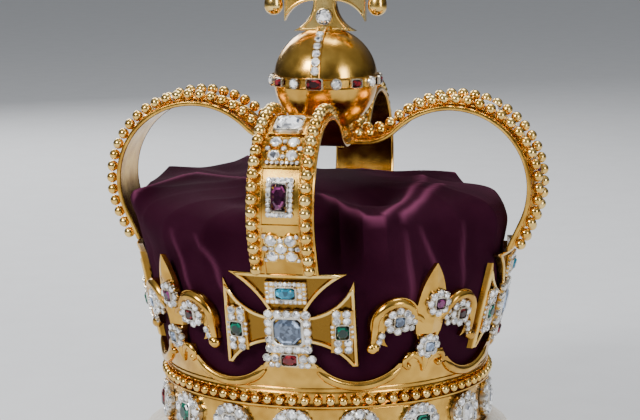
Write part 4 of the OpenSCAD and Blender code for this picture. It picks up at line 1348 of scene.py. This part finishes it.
class CROWN_OT_cap(CrownOperator, bpy.types.Operator):
    """Model the velvet cap with its folds and creases"""
    bl_idname = "crown.cap"
    bl_label = "Velvet Cap"

    def execute(self, context):
        wall = context.scene.crown_wall
        soft = context.scene.crown_soft
        turns = 360
        ridges = [[plan(a, r * MM) for a, r in corners] for corners in RIDGES]
        points = []
        painted_ridge_light = []
        for k in range(turns):
            degrees = 360 * k / turns
            for r, z, lit in self.drape(soft, degrees, self.section(wall, soft, degrees), ridges):
                points.append((*plan(degrees, r), RING_Z + z))
                painted_ridge_light.append(lit)
        per = len(points) // turns
        shape = Shape()
        top = len(points)
        points.append(Vector((0, 0, RING_Z + soft.cap_mid)))
        painted_ridge_light.append(0.0)
        faces = [f[::-1] for f in lattice(turns, per, True, False)]
        faces += [[k * per + per - 1, (k + 1) % turns * per + per - 1, top] for k in range(turns)]
        shape.add(points, faces)
        mesh = shape.mesh("velvet_cap")
        # Painted light on the cap's ridges and creases, which the velvet material reads.
        nap = mesh.attributes.new("nap", "FLOAT", "POINT")
        nap.data.foreach_set("value", painted_ridge_light)
        piece = finish_piece("velvet_cap", mesh, "velvet", "velvet", "cap")
        wall_mod = piece.modifiers.new("wall", "SOLIDIFY")
        wall_mod.thickness = soft.cap_wall * 0.8
        wall_mod.offset = -1
        return {"FINISHED"}

    def section(self, wall, soft, degrees):
        """Section of the cap at an angle from the front, from hem to near the middle."""
        slope = math.tan(wall.lean)
        clear = 0.4 * MM
        hem = wall.inner_r - clear
        base = hem - clear
        edge_z = soft.cap_top * fold_at(degrees, 1)
        edge_r = soft.cap_reach * fold_at(degrees, 2)
        draw = soft.cap_reach * fold_at(degrees, 3)
        crisp = fold_at(degrees, 4)
        low = BAND_LOW - RING_Z
        levels = [soft.cap_top * share for share in (0.16, 0.32, 0.465, 0.607)]
        shoulder = base + levels[3] * slope - draw * 0.7
        rise = soft.cap_mid - edge_z
        mean_r = 0.93 * soft.cap_reach
        bulge = (levels[3] + edge_z * (0.86 + 0.07 * crisp)) / 2
        knots = [
            (hem, low), (hem, 0), (hem + levels[0] * slope, levels[0]),
            (base + levels[1] * slope, levels[1]),
            (base + levels[2] * slope - draw * 0.3, levels[2]), (shoulder, levels[3]),
            (min((shoulder + edge_r) / 2 - draw * 0.3, base + bulge * slope), bulge)
        ]
        edge = ((edge_r, edge_z * 0.93), (edge_r - 1 * MM, edge_z * 0.985),
                (edge_r - 5 * MM, edge_z), (edge_r * 0.8, edge_z + 0.4 * rise),
                (0.35 * edge_r + 0.22 * mean_r, edge_z + 0.8 * rise))
        dome = ((edge_r, edge_z * 0.86), (edge_r * 0.98, edge_z * 0.94),
                (edge_r * 0.91, edge_z * 1.0), (edge_r * 0.76, edge_z * 1.04),
                (0.33 * edge_r + 0.22 * mean_r, edge_z * 1.06))
        knots += [Vector(a) * crisp + Vector(b) * (1 - crisp) for a, b in zip(edge, dome)]
        knots.append((mean_r * 0.3, soft.cap_mid))
        return self.smooth_line(knots, 8)

    def smooth_line(self, knots, steps):
        """Passes a soft curve through the knots."""
        line = []
        for i in range(len(knots) - 1):
            a = Vector(knots[max(i - 1, 0)])
            b = Vector(knots[i])
            c = Vector(knots[i + 1])
            d = Vector(knots[min(i + 2, len(knots) - 1)])
            for k in range(steps):
                t = k / steps
                line.append(0.5 * (2 * b + (c - a) * t + (2 * a - 5 * b + 4 * c - d) * t * t
                                   + (3 * b - a - 3 * c + d) * t ** 3))
        line.append(Vector(knots[-1]))
        return line

    def drape(self, soft, degrees, section, ridges):
        """Adds creases, ridges and hollows to a section; gives each point its share of light.

        A crease's half width and the width of the light on it are in degrees.
        """
        crease_half, crease_light = 6, 0.9
        ridge_half, ridge_light, ridge_high = 14 * MM, 1.9 * MM, 2.5 * MM
        edge_z = soft.cap_top * fold_at(degrees, 1)
        line = []
        for r, z in section:
            lit = 0.0
            for top, low, top_share, low_share, out in CREASES:
                share = (top_share - z / edge_z) / (top_share - low_share)
                if not 0 < share < 1:
                    continue
                off = (degrees - (top + (low - top) * share) + 180) % 360 - 180
                fade = math.sin(math.pi * share) ** 0.5
                r += out * MM * max(0.0, 1 - abs(off) / crease_half) ** 1.6 * fade
                lit += 0.4 * fade * math.exp(-(off / crease_light) ** 2)
            if z > 0.8 * edge_z:
                here = plan(degrees, r)
                for turn, reach, width, depth in HOLLOWS:
                    away = (here - plan(turn, reach * MM)).length
                    z -= depth * MM * math.exp(-(away / (width * MM)) ** 2)
                above = max(0.0, min(1.0, (z / edge_z - 0.92) / 0.06))
                for corners in ridges:
                    away = line_distance(here, corners)
                    z += ridge_high * max(0.0, 1 - away / ridge_half) ** 1.6
                    lit += above * math.exp(-(away / ridge_light) ** 2)
            line.append((r, min(z, soft.cap_mid + 1 * MM), min(lit, 1.0)))
        return line


class CROWN_OT_fur(CrownOperator, bpy.types.Operator):
    """Grow the white fur trim on its padded roll"""
    bl_idname = "crown.fur"
    bl_label = "Fur Trim"

    def execute(self, context):
        soft = context.scene.crown_soft
        roll = self.roll(soft)
        piece = finish_piece("fur_roll", roll, "fur", "fur", "ermine")
        tree = self.hair_tree()
        skin = Shape()
        skin.add([v.co for v in roll.vertices],
                 [list(p.vertices) for p in roll.polygons
                  if p.normal.z > -0.5 and p.center.z > 2 * MM])
        mesh = run_tree(tree, skin.mesh("skin"), {"Density": float(soft.hairs), "Seed": 7,
                                                  "Length": soft.hair,
                                                  "Material": MATERIALS["fur"]})
        for v in mesh.vertices:
            v.co.z = max(v.co.z, 0.2 * MM)
        finish_piece("fur_hairs", mesh, "fur", "fur")
        return {"FINISHED"}

    def roll(self, soft):
        """Roll of fur with soft locks."""
        turns = 288
        section = [(0, 0.06, 0), (0.12, 0, 0), (0.4, 0, 0.1), (0.7, 0, 0.4), (0.86, 0.05, 0.8),
                   (0.94, 0.12, 1), (0.985, 0.24, 1), (1, 0.38, 1), (0.97, 0.53, 1), (0.9, 0.66, 1),
                   (0.8, 0.79, 0.9), (0.66, 0.9, 0.7), (0.54, 0.96, 0.4), (0.42, 1, 0.2),
                   (0.2, 1, 0), (0, 1, 0), (-0.02, 0.5, 0)]
        wide = soft.fur_out - soft.fur_in
        locks, lock_depth = 32, 2.2 * MM
        points = []
        for k in range(turns):
            t = 2 * math.pi * k / turns
            for x, z, relief in section:
                wave = 0.5 + 0.5 * math.cos(locks * t + 2.6 * z + math.sin(7 * t))
                r = soft.fur_in + wide * x - lock_depth * relief * wave ** 2
                points.append(Vector((r * math.cos(t), r * math.sin(t), FUR_TOP * z)))
        shape = Shape()
        shape.add(points, lattice(turns, len(section), True, True))
        return shape.mesh("fur_roll")

    def hair_tree(self):
        """Geometry Nodes: thin tapered hairs that lean down and out from the roll."""
        tree, start, end = new_tree("grow_hairs", Density="Float", Length="Float", Seed="Int",
                                    Material="Material")
        scatter = add(tree, "GeometryNodeDistributePointsOnFaces")
        hair = add(tree, "GeometryNodeMeshCone")
        hair.inputs["Vertices"].default_value = 3
        hair.inputs["Side Segments"].default_value = 1
        hair.inputs["Radius Top"].default_value = 0.0
        hair.inputs["Radius Bottom"].default_value = 0.09
        hair.inputs["Depth"].default_value = 1.0
        wild = add(tree, "FunctionNodeRandomValue", data_type="FLOAT_VECTOR")
        wild.inputs["Min"].default_value = (-0.8, -0.8, -0.9)
        wild.inputs["Max"].default_value = (0.8, 0.8, 0.3)
        lean = add(tree, "ShaderNodeVectorMath", operation="ADD")
        aim = add(tree, "FunctionNodeAlignRotationToVector", axis="Z")
        size = add(tree, "FunctionNodeRandomValue", data_type="FLOAT")
        size.inputs[2].default_value = 0.6
        size.inputs[3].default_value = 1.15
        scale = add(tree, "ShaderNodeMath", operation="MULTIPLY")
        place = add(tree, "GeometryNodeInstanceOnPoints")
        real = add(tree, "GeometryNodeRealizeInstances")
        paint = add(tree, "GeometryNodeSetMaterial")
        wire(tree, (start, "Geometry", scatter, "Mesh"), (start, "Density", scatter, "Density"),
             (start, "Seed", scatter, "Seed"), (scatter, "Points", place, "Points"),
             (hair, "Mesh", place, "Instance"), (scatter, "Normal", lean, 0),
             (start, "Seed", wild, "Seed"), (wild, "Value", lean, 1),
             (lean, "Vector", aim, "Vector"), (aim, "Rotation", place, "Rotation"),
             (start, "Seed", size, "Seed"), (size, 1, scale, 0), (start, "Length", scale, 1),
             (scale, 0, place, "Scale"), (place, "Instances", real, "Geometry"),
             (real, "Geometry", paint, "Geometry"), (start, "Material", paint, "Material"),
             (paint, "Geometry", end, "Geometry"))
        return tree


class CROWN_OT_stage(CrownOperator, bpy.types.Operator):
    """Set the pale floor, the soft lights and the camera"""
    bl_idname = "crown.stage"
    bl_label = "Stage"

    def execute(self, context):
        scene = context.scene
        shape = Shape()
        half = 12.0
        shape.add([(-half, -half, 0), (half, -half, 0), (half, half, 0), (-half, half, 0)],
                  [[0, 1, 2, 3]])
        floor = bpy.data.objects.new("floor", shape.mesh("floor"))
        scene.collection.objects.link(floor)
        material, tree, shader = new_material("floor")
        tone = scene.crown_colours.floor
        speck = spread_value(tree, noise(tree, 30, 4), 0, 1)
        tree.links.new(blend(tree, speck, tone, [0.97 * c for c in tone]),
                       shader.inputs["Base Color"])
        shader.inputs["Roughness"].default_value = 0.8
        floor.data.materials.append(material)
        self.lights(scene)
        self.world(scene)
        self.camera(scene)
        return {"FINISHED"}

    def lights(self, scene):
        """Large soft lamps: place, width, height, power."""
        table = (("key", (-0.9, -1.5, 1.35), 0.7, 0.6, 40),
                 ("fill", (1.5, -1.1, 0.7), 0.5, 0.9, 14),
                 ("top", (0.1, 0.5, 1.7), 0.8, 0.8, 18),
                 ("rear", (-0.9, 1.5, 0.9), 0.7, 0.7, 14))
        aim = Vector((0, 0, RING_Z + 80 * MM))
        for name, place, width, height, power in table:
            lamp = bpy.data.lights.new(name, "AREA")
            lamp.shape = "RECTANGLE"
            lamp.size = width
            lamp.size_y = height
            lamp.energy = power
            lamp_object = bpy.data.objects.new(name, lamp)
            scene.collection.objects.link(lamp_object)
            lamp_object.location = place
            lamp_object.rotation_euler = (aim - Vector(place)).to_track_quat("-Z", "Y").to_euler()

    def world(self, scene):
        """Soft room light that is brighter from above."""
        world = bpy.data.worlds.new("room")
        scene.world = world
        world.use_nodes = True
        tree = world.node_tree
        place = add(tree, "ShaderNodeTexCoord")
        split = add(tree, "ShaderNodeSeparateXYZ")
        ramp = add(tree, "ShaderNodeValToRGB")
        ramp.color_ramp.elements[0].position = 0.0
        ramp.color_ramp.elements[0].color = (0.05, 0.045, 0.04, 1)
        ramp.color_ramp.elements[1].position = 1.0
        ramp.color_ramp.elements[1].color = (0.85, 0.88, 0.92, 1)
        tree.links.new(place.outputs["Generated"], split.inputs[0])
        tree.links.new(split.outputs["Z"], ramp.inputs["Fac"])
        tree.links.new(ramp.outputs["Color"], tree.nodes["Background"].inputs["Color"])
        tree.nodes["Background"].inputs["Strength"].default_value = 0.5

    def camera(self, scene):
        """Camera at the photograph's viewing angle, with its focal length in pixels."""
        photo_width, focal = 640, 2196
        turn = math.radians(11.8)
        far, high = 1391.9 * MM, 328.5 * MM
        aim_side, aim_high = -4.1 * MM, 100 * MM
        eye = Vector((far * math.sin(turn), -far * math.cos(turn), RING_Z + high))
        right = Vector((math.cos(turn), math.sin(turn), 0))
        aim = aim_side * right + Vector((0, 0, RING_Z + aim_high))
        ahead = (aim - eye).normalized()
        right = ahead.cross(Vector((0, 0, 1))).normalized()
        up = right.cross(ahead)
        roll = math.radians(-0.34)
        right, up = (math.cos(roll) * right + math.sin(roll) * up,
                     math.cos(roll) * up - math.sin(roll) * right)
        data = bpy.data.cameras.new("camera")
        data.sensor_width = 36
        data.lens = focal * data.sensor_width / photo_width
        data.clip_end = 100
        camera = bpy.data.objects.new("camera", data)
        camera.matrix_world = basis(right, up, -ahead, eye)
        scene.collection.objects.link(camera)
        scene.camera = camera


OPERATORS = (CROWN_OT_materials, CROWN_OT_band, CROWN_OT_crosses, CROWN_OT_fleurs,
             CROWN_OT_arches, CROWN_OT_globe, CROWN_OT_stones, CROWN_OT_cap, CROWN_OT_fur,
             CROWN_OT_stage)
GROUPS = (("crown_wall", CrownWall), ("crown_arches", CrownArches), ("crown_soft", CrownSoft),
          ("crown_colours", CrownColours))


class CROWN_PT_panel(bpy.types.Panel):
    """Lists the crown's operators in order"""
    bl_idname = "CROWN_PT_panel"
    bl_label = "Arched Crown"
    bl_space_type = "VIEW_3D"
    bl_region_type = "UI"
    bl_category = "Crown"

    def draw(self, context):
        for operator in OPERATORS:
            self.layout.operator(operator.bl_idname)


def register():
    """Registers the groups, the operators and the panel."""
    for _, group in GROUPS:
        bpy.utils.register_class(group)
    for operator in OPERATORS:
        bpy.utils.register_class(operator)
    bpy.utils.register_class(CROWN_PT_panel)
    for name, group in GROUPS:
        setattr(bpy.types.Scene, name, bpy.props.PointerProperty(type=group))


def unregister():
    """Takes back what register did."""
    for name, _ in GROUPS:
        delattr(bpy.types.Scene, name)
    bpy.utils.unregister_class(CROWN_PT_panel)
    for operator in reversed(OPERATORS):
        bpy.utils.unregister_class(operator)
    for _, group in reversed(GROUPS):
        bpy.utils.unregister_class(group)


def main():
    """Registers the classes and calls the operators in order."""
    register()
    for operator in OPERATORS:
        area, name = operator.bl_idname.split(".")
        getattr(getattr(bpy.ops, area), name)()


if __name__ == "__main__":
    main()
